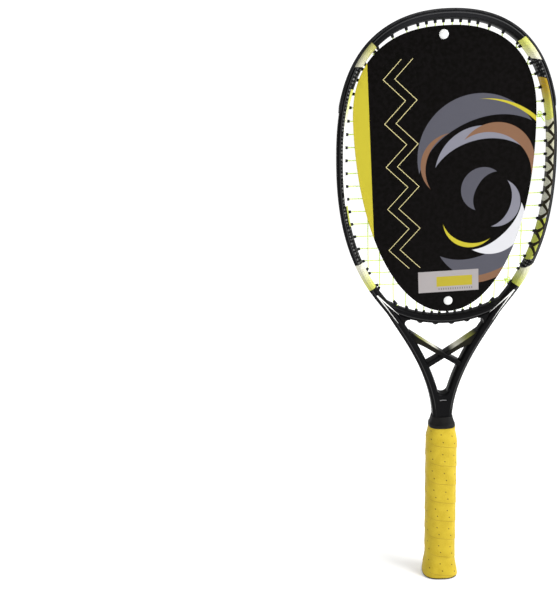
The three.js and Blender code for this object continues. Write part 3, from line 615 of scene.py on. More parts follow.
def make_hairpin():
    crown, flank = Vector((0, CROWN_Z)), Vector((FLANK_X, WIDEST_Z))
    leg, shaft = Vector((LEG_X, LEG_Z)), Vector((SHAFT_X, SHAFT_TOP_Z))
    down = Vector((-math.sin(LEG_LEAN), -math.cos(LEG_LEAN)))
    above_flank = Vector((FLANK_X, WIDEST_Z + (CROWN_Z - WIDEST_Z) * UPPER_PULL))
    below_flank = Vector((FLANK_X, WIDEST_Z - (WIDEST_Z - LEG_Z) * LOWER_PULL))
    half = [crown]
    half += cubic(crown, Vector((FLANK_X * CROWN_PULL, CROWN_Z)), above_flank, flank)
    half += cubic(flank, below_flank, leg - down * LEG_PULL, leg)
    half += cubic(leg, leg + down * LEG_PULL, Vector((SHAFT_X, SHAFT_TOP_Z + SHAFT_PULL)), shaft)
    half.append(Vector((SHAFT_X, FOOT_Z)))
    half = evenly(half, RAIL_STEP)
    points = [Vector((-p.x, p.y)) for p in reversed(half)] + half[1:]
    normals = []
    for i in range(len(points)):
        way = points[min(i + 1, len(points) - 1)] - points[max(i - 1, 0)]
        normals.append(Vector((-way.y, way.x)).normalized())
    return Rail(points, normals, [tube_width(p.y) for p in points], len(half) - 1)


hairpin = make_hairpin()
REACH = hairpin.lengths[-1]
print(f"hairpin {2 * REACH:.0f} mm long, {len(hairpin.points)} places")

# %% Bridge rail
BRIDGE_WIDTH, BRIDGE_DEPTH, BRIDGE_RADIUS = 9.0, 15.0, 122.9
BRIDGE_RAIL_X, BRIDGE_END_X, BRIDGE_SKEW = 69.0, 50.8, 1.45


def make_bridge_rail():
    """The lower bridge of the head. Its outer face looks down into the throat."""
    middle = BRIDGE_RADIUS - BRIDGE_WIDTH / 2
    half_angle = math.asin(BRIDGE_RAIL_X / middle)
    count = round(2 * half_angle * middle / (RAIL_STEP / 2))
    angles = [half_angle * (2 * i / count - 1) for i in range(count + 1)]
    normals = [Vector((math.sin(angle), -math.cos(angle))) for angle in angles]
    centre = Vector((0, BRIDGE_LOWEST + BRIDGE_RADIUS))
    return Rail([centre + normal * middle for normal in normals], normals,
                [BRIDGE_WIDTH] * len(normals), count // 2)


bridge_rail = make_bridge_rail()
BRIDGE_REACH = bridge_rail.lengths[-1]
print(f"bridge {2 * BRIDGE_REACH:.0f} mm long")

# %% [markdown]
# ## Where the strings pass
#
# Sixteen mains and nineteen crosses pass through plastic barrels. The barrels lean a little
# from the tube's normal towards the string. Each hole is worked out once and then used by the
# barrel, by the strip under it and by the string: the point where the string bends inside the
# hoop, and the point where it leaves the tube in the outer groove.

# %% Holes
STRING = 0.55
GROOVE_DEPTH, GROOVE_FLOOR, GROOVE_MOUTH = 2.55, 3.2, 3.7
STRIP = 0.8
BARREL_REACH, BEND_REACH = 2.8, 0.6
SEAT_DEPTH = GROOVE_DEPTH - FIT - STRIP - STRING - 0.02
MAIN_XS = [HEAD_WIDTH / 2 * share for share in (0.0383, 0.1103, 0.186, 0.26, 0.36, 0.48, 0.6075, 0.716)]
BRIDGE_EXIT_XS = [LEG_X * share for share in (0.0792, 0.2278, 0.3784, 0.5135, 0.6409, 0.7529)]
CROSS_COUNT = 19
FIRST_CROSS_Z, LAST_CROSS_Z = CROWN_Z - 32.4, BRIDGE_LOWEST + 42.4
SECOND_CROSS_DROP = 3.0
FAN_SHARE = 0.35
MAIN_Y, CROSS_Y = -0.7, 0.7
# where a search along one side of the hairpin starts
PAST_CROWN, PAST_FLANK = 60.0, 300.0


class Hole:
    def __init__(self, rail, bend, leave, y):
        self.rail, self.bend, self.leave, self.y = rail, bend, leave, y
        self.out = rail.at(leave, SEAT_DEPTH, y)
        self.way = (self.out - self.bend).normalized()


def drill(rail, axis, value, y, end, start=0, exit_x=None):
    foot = rail.where(axis, value, TUBE_WIDTH, start, end)
    _, normal, width = rail.place(foot)
    slant = math.acos(min(abs(normal.y if axis == "x" else normal.x), 1)) / 2
    depth = width + (BARREL_REACH + BEND_REACH) * math.cos(slant)
    inner = rail.where(axis, value, depth, start, end)
    if exit_x is None:
        leave = inner + (rail.where(axis, value, SEAT_DEPTH, start, end) - inner) * FAN_SHARE
    else:
        leave = rail.where("x", exit_x, SEAT_DEPTH, start, end)
    return Hole(rail, rail.at(inner, depth, y), leave, y)


def beside(hole, shift=0.4):
    """A string's end is tied off through the hole of another string and lies beside it."""
    return Hole(hole.rail, hole.bend + Y_AXIS.cross(hole.way) * shift, hole.leave, hole.y)


flank = hairpin.where("z", WIDEST_Z, TUBE_WIDTH / 2, PAST_CROWN, REACH)
leg_end = hairpin.where("z", LEG_Z, TUBE_WIDTH / 2, PAST_CROWN, REACH)


def main_holes(sign):
    pairs = []
    for i, x in enumerate(MAIN_XS):
        top = drill(hairpin, "x", sign * x, MAIN_Y, sign * flank)
        if i < len(BRIDGE_EXIT_XS):
            bottom = drill(bridge_rail, "x", sign * x, MAIN_Y, sign * BRIDGE_REACH,
                           exit_x=sign * BRIDGE_EXIT_XS[i])
        else:
            bottom = drill(hairpin, "x", sign * x, MAIN_Y, sign * flank, start=sign * leg_end)
        pairs.append((top, bottom))
    return pairs


CROSS_ZS = [FIRST_CROSS_Z + (LAST_CROSS_Z - FIRST_CROSS_Z) * i / (CROSS_COUNT - 1)
            for i in range(CROSS_COUNT)]
CROSS_ZS[1] -= SECOND_CROSS_DROP
mains = {sign: main_holes(sign) for sign in (1, -1)}
crosses = [{sign: drill(hairpin, "z", z, CROSS_Y, sign * leg_end) for sign in (1, -1)} for z in CROSS_ZS]
main_ties = {1: beside(crosses[5][1]), -1: beside(crosses[0][-1])}
top_tie, low_tie = beside(mains[-1][-2][0]), beside(mains[1][-2][1])
holes = [hole for sign in (1, -1) for pair in mains[sign] for hole in pair]
holes += [hole for pair in crosses for hole in pair.values()]
print(len(holes), "string holes")

# %% [markdown]
# ## Painted carbon
#
# The tube is moulded carbon under a clear coat. The paint is a few fields along the hairpin:
# black that is a little paler at the crown as a painted highlight, pale yellow running into
# white, painted darker on the upper left as painted shade, bare woven carbon, an ochre band, a
# painted highlight along a ridge, and a dark zigzag over the light field on the right. All are
# masks made from two marks that the mesh carries, the distance along the tube and the depth from
# its outer face. A field is one row in a table, and a loop stacks the rows. The lines of the
# throat are strokes between points of the front view, and one more is a painted highlight on
# the dimple's lip.

# %% Paint
# the paler black for the crown is a painted highlight
BLACK, CROWN_SHEEN_BLACK, CARBON = srgb(13, 13, 14), srgb(29, 29, 31), srgb(112, 112, 110)
LIME_YELLOW, WHITE, OCHRE = srgb(184, 187, 90), srgb(206, 204, 188), srgb(156, 128, 31)
# darker copies of the pale yellow and the white, as painted shade on the upper left of the head
SHADED_YELLOW, SHADED_WHITE = srgb(164, 162, 92), srgb(182, 180, 158)
LINE_WHITE, STRUT_OLIVE = srgb(226, 226, 222), srgb(132, 134, 62)
CREAM, PALE_GREY, LEAF = srgb(190, 188, 160), srgb(166, 166, 157), srgb(160, 166, 68)
# the third colour is a grey for painted highlights, on a ridge and on the dimple's lip
BROWN_GREY, BAR_BROWN, HIGHLIGHT_GREY = srgb(128, 120, 100), srgb(34, 30, 20), srgb(112, 112, 112)
# a distance past every field, for surfaces that stay black
NONE = 400.0
WEAR_AND_SHEEN_TO, WEAR_AND_SHEEN_GONE_FROM = NONE + 40, NONE + 60
# over these distances the painted highlight at the crown fades into the plain black
CROWN_SHEEN_FADE = (30.0, 78.0)

# side, start outside, start inside, end outside, end inside, least depth, colour at start, at end
PAINT_FIELDS = [
    # this field is painted darker than its twin on the right, as painted shade
    (-1, 77.7, 77.7, 105.1, 100.5, -3, SHADED_YELLOW, SHADED_WHITE),
    (-1, 124.4, 124.4, 176.0, 176.0, 6.0, LIME_YELLOW, LINE_WHITE),
    (-1, 175.5, 175.5, 237.7, 239.7, 6.0, LINE_WHITE, LINE_WHITE),
    (-1, 239.0, 239.0, 246.0, 262.0, 7.0, LEAF, LEAF),
    (-1, 301.1, 301.1, 330.6, 330.6, -3, WHITE, LIME_YELLOW),
    (1, 77.2, 75.2, 105.1, 97.5, -3, LIME_YELLOW, WHITE),
    (1, 124.9, 117.8, 156.4, 161.5, 4.3, OCHRE, LIME_YELLOW),
    (1, 156.4, 161.5, 253.9, 260.0, 4.3, CREAM, PALE_GREY),
    (1, 253.9, 260.0, 297.6, 303.7, 4.3, LEAF, LEAF),
    (1, 304.2, 313.8, 331.6, 331.6, -3, WHITE, LEAF),
]
BARE_FIELDS = [(-1, 100.5, 301.1), (1, 97.5, 124.9), (1, 297.6, 313.8)]
TOW_PITCH = 2.5
ZIGZAG_HALF, ZIGZAG_SLOPE, ZIGZAG_DEPTH, ZIGZAG_WIDTH = 7.4, 0.68, 4.0, 1.45
ZIGZAG_START, ZIGZAG_END = 162.5, 297.6
HATCH_PITCH, HATCH_SLANT, HATCH_STRENGTH = 2.6, 1.1, 0.45
# a painted highlight line along the ridge between the outer face and its bevel
RIDGE_HIGHLIGHT_START, RIDGE_HIGHLIGHT_END, RIDGE_HIGHLIGHT_STRENGTH = 2.7, 3.5, 0.22
DIMPLE_Z, DIMPLE_HALF_WIDTH, DIMPLE_HALF_HEIGHT, DIMPLE_DEPTH = 211.4, 4.8, 2.1, 1.3
# a painted highlight along the dimple's lower lip
LIP_HIGHLIGHT_HALF, LIP_HIGHLIGHT_DROP = 3.2, 0.8
# side, distance of the corner, distance and depth of the first line's end
V_LINES = [(-1, 339.2, 375.8, 4.5), (1, 337.2, 374.2, 3.5)]
V_DEPTH, V_END_X, V_END_Z = 4.0, 46.7, 305.9


def painted_lines():
    """Two white lines that meet like a V at each shoulder of the throat, and a painted highlight on
    the dimple's lower lip. Each is a start, an end, half a width, a tail and a colour."""
    lines = []
    for sign, apex, low, low_depth in V_LINES:
        corner = hairpin.at(sign * apex, V_DEPTH)
        lines.append((corner, hairpin.at(sign * low, low_depth), 0.75, 0.8, LINE_WHITE))
        lines.append((corner, Vector((sign * V_END_X, 0, V_END_Z)), 0.8, 0.8, LINE_WHITE))
    # the last stroke is a painted highlight along the dimple's lower lip
    lip_highlight_z = DIMPLE_Z - LIP_HIGHLIGHT_DROP
    return lines + [(Vector((-LIP_HIGHLIGHT_HALF, 0, lip_highlight_z)), Vector((LIP_HIGHLIGHT_HALF, 0, lip_highlight_z)), 0.42, 0.0, HIGHLIGHT_GREY)]


def lacquered(material, colour, specks, worn_and_sheen):
    """Satin lacquer over paint, with paler convex edges that are partly wear and partly a painted edge
    highlight.
    """
    height, mask = specks
    return finish(material, worn_and_sheen.mix(colour, srgb(96, 96, 96)), varied(0.34, mask, 0.08),
                  (height, 0.12, 0.00005),
                  {"Specular IOR Level": 0.03, "Coat Weight": 0.015, "Coat Roughness": 0.16})


def frame_paint():
    material, tree = new_material("painted_carbon")
    along, depth = attribute_of(tree, "along"), attribute_of(tree, "depth")
    x, y, z = (axis * (1 / MM) for axis in axes_of(tree))
    specks = use(tree, grain, scale=420.0, detail=2.0)
    sides = {1: along, -1: along * -1.0}
    # painted highlight: the black is paler near the crown
    colour = abs(along).rise(*CROWN_SHEEN_FADE).mix(CROWN_SHEEN_BLACK, BLACK)
    tows = use(tree, weave, along=along, across=depth - abs(y), pitch=TOW_PITCH)
    bare = sum(within(sides[side], start, end, 1.0) for side, start, end in BARE_FIELDS)
    colour = (tows * bare * specks[1]).mix(colour, CARBON)
    phase = ((depth * HATCH_SLANT + along) / HATCH_PITCH).fraction()
    hatch = within(phase, 0.15, 0.55, 0.3) * specks[1] * HATCH_STRENGTH
    share = depth / TUBE_WIDTH
    for side, s_out, s_in, e_out, e_in, least, first, last in PAINT_FIELDS:
        over = within(sides[side], share * (s_in - s_out) + s_out, share * (e_in - e_out) + e_out, 0.5)
        tone = hatch.mix(sides[side].rise(s_out, e_out).mix(first, last), BROWN_GREY)
        colour = (over * depth.rise(least - 0.2, least + 0.2)).mix(colour, tone)
    off = abs(depth - (along.pingpong(ZIGZAG_HALF) * ZIGZAG_SLOPE + ZIGZAG_DEPTH))
    zigzag = within(off, -1.0, ZIGZAG_WIDTH, 0.4) * within(along, ZIGZAG_START, ZIGZAG_END, 1.0)
    colour = zigzag.mix(colour, BAR_BROWN)
    for start, end, half, tail, tone in painted_lines():
        line = use(tree, stroke, u=x, v=z, u0=start.x, v0=start.z, u1=end.x, v1=end.z, half=half, tail=tail)
        colour = line.mix(colour, tone)
    # painted highlight along the ridge of the tube
    colour = (within(depth, RIDGE_HIGHLIGHT_START, RIDGE_HIGHLIGHT_END, 0.5) * RIDGE_HIGHLIGHT_STRENGTH).mix(colour, HIGHLIGHT_GREY)
    # the edge wear and its painted edge highlight end before the distance that the gussets are given,
    # because their edges are sharp
    worn_and_sheen = use(tree, edge_wear_and_sheen, amount=0.12, scale=260.0) * (1.0 - along.rise(WEAR_AND_SHEEN_TO, WEAR_AND_SHEEN_GONE_FROM))
    return lacquered(material, colour, specks, worn_and_sheen)


painted = frame_paint()
print("paint fields:", len(PAINT_FIELDS))

# %% [markdown]
# ## Frame tube
#
# The section of the tube has bevelled edges, a string groove in the outer face and a flat inner
# face. Sweeping it along the rail gives the whole hairpin as one body, as it is moulded. The
# groove fades out on the legs. Between the legs a web fills the crotch: a grid whose upper edge
# follows the round bottom of the throat and rolls from front to back, with a shallow dimple.

# %% Frame tube
INNER_LAND, INNER_BEVEL, OUTER_LAND, OUTER_BEVEL = 4.2, 2.0, 5.2, 3.1
GROOVE_FADE_Z, GROOVE_FADE = 287.1, 20.3
WEB_HALF_WIDTH, WEB_HALF_DEPTH, WEB_ROUND = 8.0, 8.42, 3.2
WEB_COLUMNS, WEB_ROWS, WEB_ROLL = 32, 48, 6


def bar_section(width, depth, groove):
    upper = [(width, INNER_LAND), (width - INNER_BEVEL, depth / 2), (OUTER_BEVEL, depth / 2),
             (0.0, OUTER_LAND), (0.0, GROOVE_MOUTH), (GROOVE_DEPTH * groove, GROOVE_FLOOR)]
    cuts = [1.3, 1.2, 0.9, 0.9, 0.3, 0.3]
    return soften(mirrored(upper), cuts + cuts[::-1])


def tube_section(distance):
    point, _, width = hairpin.place(distance)
    return bar_section(width, BEAM, clamped((point.y - GROOVE_FADE_Z) / GROOVE_FADE))


def web_column(x):
    """Front, rolled upper edge and back of the crotch web at one distance from the middle."""
    reach = min(abs(x) / CROTCH_RADIUS, 1.0)
    top = CROTCH_Z + CROTCH_RADIUS * (1 - math.sqrt(1 - reach ** 2)) - WEB_ROUND
    low = SHAFT_TOP_Z - 2
    column = []
    for k in range(WEB_ROWS + 1):
        z = low + (top - low) * k / WEB_ROWS
        spread = (x / DIMPLE_HALF_WIDTH) ** 2 + ((z - DIMPLE_Z) / DIMPLE_HALF_HEIGHT) ** 2
        column.append((-WEB_HALF_DEPTH + DIMPLE_DEPTH * max(1 - spread, 0.0) ** 0.8, z))
    for k in range(1, WEB_ROLL + 1):
        angle = math.pi / 2 * k / WEB_ROLL
        column.append((-WEB_HALF_DEPTH + WEB_ROUND * (1 - math.cos(angle)),
                       top + WEB_ROUND * math.sin(angle)))
    return [Vector((x, y, z)) for y, z in column + [(-y, z) for y, z in reversed(column)]]


def unpainted(rings, along):
    """A shell that lies beyond all fields of the paint."""
    points, faces, _ = loft(rings)
    return points, faces, {"along": [along] * len(points), "depth": [0.0] * len(points)}


web = [web_column(WEB_HALF_WIDTH * (2 * i / WEB_COLUMNS - 1)) for i in range(WEB_COLUMNS + 1)]
piece("frame_shell", [hairpin.sweep(-REACH, REACH, tube_section), unpainted(web, NONE)], painted,
      "frame_paint", "frame_crown", "frame_side_left", "frame_side_right", "frame_fork", crease=50)

# %% [markdown]
# ## Throat bridge and crossed struts
#
# The bridge closes the head at the bottom. Where it meets a leg the mould leaves a round corner,
# so a small gusset fills the sharp one. The two struts cross in a half lap, 1 mm right of the
# middle, and each stands a little proud on its own side. Towards its end a strut widens below
# and swells a little above, and then it runs into the leg.

# %% Throat bridge
GUSSET_RADIUS, GUSSET_DEPTH, GUSSET_STEPS = 3.9, 13.6, 12
GUSSET_LEG_X = 45.9
# how far the gusset's hidden corners lie inside the bridge and the leg
GUSSET_SINK, GUSSET_SHIFT, BRIDGE_SINK, LEG_SINK = 2.5, 0.5, 0.8, (0.9, -0.4)


def gusset(sign):
    """Fills the sharp corner between the bridge's lower face and the leg's inner face."""
    corner = hairpin.at(hairpin.where("x", GUSSET_LEG_X, LEG_WIDTH, PAST_FLANK, REACH), LEG_WIDTH)
    centre = Vector((0, BRIDGE_LOWEST + BRIDGE_RADIUS))
    spoke = (Vector((corner.x, corner.z)) - centre).normalized()
    corner = centre + spoke * BRIDGE_RADIUS
    inwards = Vector((spoke.y, -spoke.x))
    downwards = Vector((-math.sin(LEG_LEAN), -math.cos(LEG_LEAN)))
    half = math.acos(inwards.dot(downwards)) / 2
    tangent = GUSSET_RADIUS / math.tan(half)
    bisector = (inwards + downwards).normalized()
    middle = corner + bisector * (GUSSET_RADIUS / math.sin(half))
    on_bridge, on_leg = corner + inwards * tangent, corner + downwards * tangent
    start = on_bridge - middle
    turn = start.angle_signed(on_leg - middle)
    outline = [corner - bisector * GUSSET_SINK + inwards * GUSSET_SHIFT, on_bridge - spoke * BRIDGE_SINK]
    for k in range(GUSSET_STEPS + 1):
        outline.append(middle + Vector(turned(start.x, start.y, -turn * k / GUSSET_STEPS)))
    outline.append(on_leg + Vector(LEG_SINK))
    return unpainted([[Vector((sign * p.x, y, p.y)) for p in outline]
                      for y in (-GUSSET_DEPTH / 2, GUSSET_DEPTH / 2)], NONE + 100)


def bridge_section(_distance):
    return bar_section(BRIDGE_WIDTH, BRIDGE_DEPTH, 1.0)


bridge_end = bridge_rail.where("x", BRIDGE_END_X, 0, 0, BRIDGE_REACH)
bridge_bar = bridge_rail.sweep(-bridge_end, bridge_end, bridge_section, BRIDGE_SKEW)
bridge = piece("throat_bridge_shell", [bridge_bar, gusset(1), gusset(-1)], painted, "frame_paint",
               "throat_bridge")
for mark in bridge.data.attributes["along"].data:
    mark.value = max(mark.value, NONE)

# %% Struts
CROSSING_X, CROSSING_Z, RISE, STRUT_SPAN = 1.0, 260.1, 0.62, LEG_X * 0.695
STRUT_DEPTH, STRUT_WIDTH, ROOT_WIDTH, FLARE, PROUD = 14.0, 5.0, 10.5, 9.0, 0.8
STRUT_LOW_END, STRUT_HIGH_END, UPPER_SWELL, STRUT_STEPS = 23.9, 1.5, 1.6, 60


def strut_material():
    """Black, with pale yellow running into white on the upper faces."""
    material, tree = new_material("painted_struts")
    top, reach = attribute_of(tree, "top"), attribute_of(tree, "reach")
    tone = reach.rise(0.35, 0.75).mix(WHITE, STRUT_OLIVE)
    tinted = within(reach, 0.2, 0.8, 0.3).mix(BLACK, srgb(27, 26, 19))
    colour = (top * within(reach, 0.26, 0.86, 0.22)).mix(tinted, tone)
    specks = use(tree, grain, scale=420.0, detail=2.0)
    # paler convex edges: partly wear, partly a painted edge highlight
    return lacquered(material, colour, specks, use(tree, edge_wear_and_sheen, amount=0.12, scale=260.0))


def strut(lean):
    """One strut, lofted along its length. Lean 1 rises to the right. It ends inside the legs."""
    high = STRUT_SPAN * math.hypot(1, RISE)
    start, end = sorted((-STRUT_LOW_END * lean, (high + STRUT_HIGH_END) * lean))
    rings, top, reach = [], [], []
    for k in range(STRUT_STEPS + 1):
        a = start + (end - start) * k / STRUT_STEPS
        early = FLARE if a > 0 else 0.0
        flared = clamped((abs(a) + early - high) / (2 * FLARE) + 1) ** 1.2
        lower = STRUT_WIDTH / 2 + (ROOT_WIDTH - STRUT_WIDTH) / 2 * flared
        upper = STRUT_WIDTH / 2 + UPPER_SWELL * min(abs(a) / high, 1.0) ** 1.5
        ring = []
        for b, depth in soften(mirrored([(upper, STRUT_DEPTH / 2), (-lower, STRUT_DEPTH / 2)]), 1.3, 4):
            x, z = turned(a, b, math.atan(RISE) * lean)
            ring.append(Vector((CROSSING_X + x, lean * PROUD / 2 + depth, CROSSING_Z + z)))
            top.append(smoothstep(b, upper - 0.7, upper - 0.1))
            reach.append(a * lean / high)
        rings.append(ring)
    return loft(rings, marks={"top": top, "reach": reach})


strut_paint = strut_material()
for name, lean in (("front", -1), ("back", 1)):
    piece(f"strut_{name}_shell", [strut(lean)], strut_paint, "frame_paint", f"brace_strut_{name}")

# %% [markdown]
# ## Moulded trim
#
# A saddle of black nylon protects the crown, and strips with barrels lie in the groove at the
# sides and under the bridge. The barrels keep the strings off the carbon. Each barrel is a lathe
# shape along its hole: a round mouth, a bore for the string and a slightly thicker root. Nylon
# is satin, with fine flow marks and scuffs where the racket meets the floor. Its convex edges are
# paler, partly from scuffs and partly as a painted edge highlight.

# %% Trim material
# paler convex edges: partly scuffs, partly a painted edge highlight
nylon = speckled("moulded_nylon", srgb(20, 20, 21), srgb(34, 34, 36), 0.42, 0.16, (0.25, 0.00006),
                 fine={"scale": 1500.0, "detail": 3.0},
                 broad={"scale": 120.0, "detail": 4.0, "stretch": 3.0},
                 scuffs_and_sheen=(srgb(96, 96, 98), 0.2, 200.0), constants={"Specular IOR Level": 0.07})

# %% Barrels
BARREL_SIDES, BOSS_SIDES = 20, 16
# distance in from the mouth, radius: up out of the bore, over the lip and down the outside
BARREL_PROFILE = [(3.0, 0.7), (0.5, 0.72), (0.12, 0.8), (0.0, 1.0), (0.1, 1.24), (0.4, 1.4),
                  (1.0, 1.47), (2.2, 1.52), (2.7, 1.66), (5.2, 1.72)]
# height over the strip, radius
BOSS_PROFILE = [(0.0, 1.7), (0.3, 1.6), (0.42, 1.4), (0.4, 1.0), (0.2, 0.8), (0.0, 0.75)]
STRIP_OUTER = GROOVE_DEPTH - FIT - STRIP
STRIP_HALF = GROOVE_FLOOR - FIT


def barrel(hole):
    side = hole.way.cross(Y_AXIS).normalized()
    return lathe(hole.bend + hole.way * BEND_REACH, hole.way, side, BARREL_PROFILE, BARREL_SIDES)


def boss(hole):
    """The raised eye round the string where it comes out of the strip into the groove."""
    _, normal, _ = hole.rail.place(hole.leave)
    centre = hole.rail.at(hole.leave, STRIP_OUTER + 0.1, hole.y)
    out = Vector((normal.x, 0, normal.y))
    side = Y_AXIS.cross(out).normalized()
    return lathe(centre, out, side, BOSS_PROFILE, BOSS_SIDES)


# %% Bumper guard
bumper_end = hairpin.where("z", BRIDGE_LOWEST + (LENGTH - BRIDGE_LOWEST) * 0.698, 0, PAST_CROWN, REACH)
BUMPER_TAPER, THIN_END, LIP_REACH = 7.0, 0.35, 1.75


def bumper_section(distance):
    """A saddle over the outer face: lips down both bevels and a groove for the strings."""
    taper = smoothstep(bumper_end - abs(distance), 0.0, BUMPER_TAPER)
    wall = BUMPER_WALL * (THIN_END + (1 - THIN_END) * taper)
    skin = -FIT - wall
    lip = OUTER_LAND + LIP_REACH
    over = [(-FIT + LIP_REACH, lip), (skin + LIP_REACH * 1.1, lip + wall * 0.7), (skin, OUTER_LAND + FIT),
            (skin, STRIP_HALF - wall * 0.2), (STRIP_OUTER, STRIP_HALF - wall * 0.6)]
    under = [(-FIT, -OUTER_LAND - FIT / 2), (-FIT, FIT - GROOVE_MOUTH), (GROOVE_DEPTH - FIT, -STRIP_HALF)]
    cuts = [0.2, 0.5, 0.8, 0.5, 0.3]
    return soften(mirrored(over) + mirrored(under), cuts + cuts[::-1] + [0.15] * 6, 2)


def trim(name, strip, found, node, bosses=True):
    """A strip or saddle with the barrels of its holes, and with their eyes where it has any."""
    eyes = [boss(hole) for hole in found] if bosses else []
    piece(name, [strip] + [barrel(hole) for hole in found] + eyes, nylon, "trim_plastic", node)


trim("bumper_saddle", hairpin.sweep(-bumper_end, bumper_end, bumper_section),
     [h for h in holes if h.rail is hairpin and abs(h.leave) < bumper_end], "bumper_guard")

# %% Grommet strips
HUMP_HEIGHT, HUMP_HALF, STRIP_PAST = 2.3, 5.4, 6
HUMP_XS = [(BRIDGE_EXIT_XS[i] + BRIDGE_EXIT_XS[i + 1]) / 2 for i in (0, 2)]


def strip_section(_distance):
    outer, inner = mirrored([(STRIP_OUTER, STRIP_HALF)]), mirrored([(STRIP_OUTER + STRIP, -STRIP_HALF)])
    return soften(outer + inner, 0.25, 2)


def hump(distance):
    x = abs(bridge_rail.place(distance)[0].x)
    return max(math.cos(math.pi / 2 * min(abs(x - c) / HUMP_HALF, 1)) ** 1.4 for c in HUMP_XS)


def throat_strip_section(distance):
    """A channel whose walls rise over the string between two mains."""
    rim = STRIP_OUTER - 0.3 - (STRIP_OUTER + HUMP_HEIGHT - 0.3) * hump(distance)
    wall = [(rim, STRIP_HALF - 0.1), (rim, STRIP_HALF - 0.85), (STRIP_OUTER + 0.05, STRIP_HALF - 1.0)]
    return soften(mirrored(wall) + mirrored([(STRIP_OUTER + STRIP, -STRIP_HALF)]), 0.2, 2)


for side, sign in (("left", -1), ("right", 1)):
    on_side = [h for h in holes if h.rail is hairpin and h.leave * sign > bumper_end]
    ends = sorted((sign * (bumper_end + FIT), sign * (max(h.leave * sign for h in on_side) + STRIP_PAST)))
    trim(f"grommets_{side}", hairpin.sweep(*ends, strip_section), on_side, f"grommet_strip_{side}")

on_bridge = [h for h in holes if h.rail is bridge_rail]
strip_end = max(h.leave for h in on_bridge) + STRIP_PAST / 2
trim("grommets_throat", bridge_rail.sweep(-strip_end, strip_end, throat_strip_section), on_bridge,
     "grommet_strip_throat", bosses=False)

# %% [markdown]
# ## Strings
#
# One string makes all the mains and another all the crosses. In the frame they lie in two flat
# layers. Here they are woven: at every crossing one passes in front and the other behind, and
# the order changes from one crossing to the next. A cord is a tube along its points, turned as
# little as possible from ring to ring so that it never twists. Each end shares the hole of a
# neighbouring string and is knotted against its barrel. The two left ones are tied behind the
# card.

# %% Cord
WEAVE = STRING + 0.02
CORD_SIDES = 8
BEND_CUT, BEND_STEPS, SHARP_BEND = 0.9, 3, math.radians(14)


def eased(points):
    """Rounds the sharp bends of a route."""
    route = [points[0]]
    for before, corner, after in zip(points, points[1:], points[2:]):
        first, second = before - corner, after - corner
        if min(first.length, second.length) < 1e-6:
            continue
        sharp = first.angle(-second) >= SHARP_BEND
        route += rounded(before, corner, after, BEND_CUT, BEND_STEPS) if sharp else [corner]
    return route + [points[-1]]


def cord(points):
    ways = [(b - a).normalized() for a, b in zip(points, points[1:])]
    side = ways[0].orthogonal().normalized()
    lengths = running(points)
    rings, run = [], []
    for i, point in enumerate(points):
        before, after = ways[max(i - 1, 0)], ways[min(i, len(ways) - 1)]
        way = (before + after).normalized()
        side = (side - way * side.dot(way)).normalized()
        stretch = 1 / max(before.dot(way), 0.5)
        rings.append(circle(point, side, way.cross(side), STRING * min(stretch, 1.2), CORD_SIDES))
        run += [lengths[i]] * CORD_SIDES
    return loft(rings, marks={"run": run}), lengths[-1]


# %% Routes
all_mains = sorted(((sign * x, mains[sign][i]) for sign in (1, -1) for i, x in enumerate(MAIN_XS)),
                   key=lambda entry: entry[0])
# distance from a crossing, share of the weave's height there
SWAY = [(-1.3, 0.82), (0.0, 1.0), (1.3, 0.82)]
HOLE_CLEARANCE = 1.2
CROSSING_CLEARANCE = 3


def groove(first, second):
    """Along the string groove from one hole to the next."""
    low, high = sorted((first.leave, second.leave))
    stops = [l for l in first.rail.lengths if low + HOLE_CLEARANCE < l < high - HOLE_CLEARANCE]
    if second.leave < first.leave:
        stops.reverse()
    return [first.rail.at(stop, SEAT_DEPTH, first.y) for stop in stops]


def crossings(pairs, side):
    """Place and level of each crossing of a main with a cross. The side is 1 for a main and -1
    for a cross, so that they pass on opposite sides."""
    found = []
    for main, cross in pairs:
        x, (top, bottom) = all_mains[main]
        z = CROSS_ZS[cross]
        if bottom.bend.z + CROSSING_CLEARANCE < z < top.bend.z - CROSSING_CLEARANCE:
            found.append((Vector((x, 0, z)), side * (-WEAVE if (main + cross) % 2 else WEAVE)))
    return found


def span(start, end, passed):
    """One string across the hoop, from groove to groove, on its own side of each crossing."""
    way = (end.bend - start.bend).normalized()
    points = [start.out, start.bend]
    for place, level in passed:
        for ahead, share in SWAY:
            spot = place + way * ahead
            points.append(Vector((spot.x, level * share, spot.z)))
    return points + [end.bend, end.out]


TURN_RADIUS, TURN_PITCH, TURN_START, TURN_STEPS, TURN_POINTS = 1.3, 1.3, 5.2, 12, 27
LOOP_RADIUS, LOOP_OUT, LOOP_UP, LOOP_FRONT, LOOP_STEPS = 1.8, 3.6, 2.2, 1.2, 12
DEEP_KNOT = 2.0
# distance from the barrel's mouth, down, forwards
KNOT_START = [(1.6, 0.0, 0.0), (4.6, 0.0, 0.0), (5.6, 0.6, 0.0)]
KNOT_TAIL = [(2.4, 1.2, 2.2), (1.6, 3.6, 4.2), (0.8, 6.2, 6.4)]


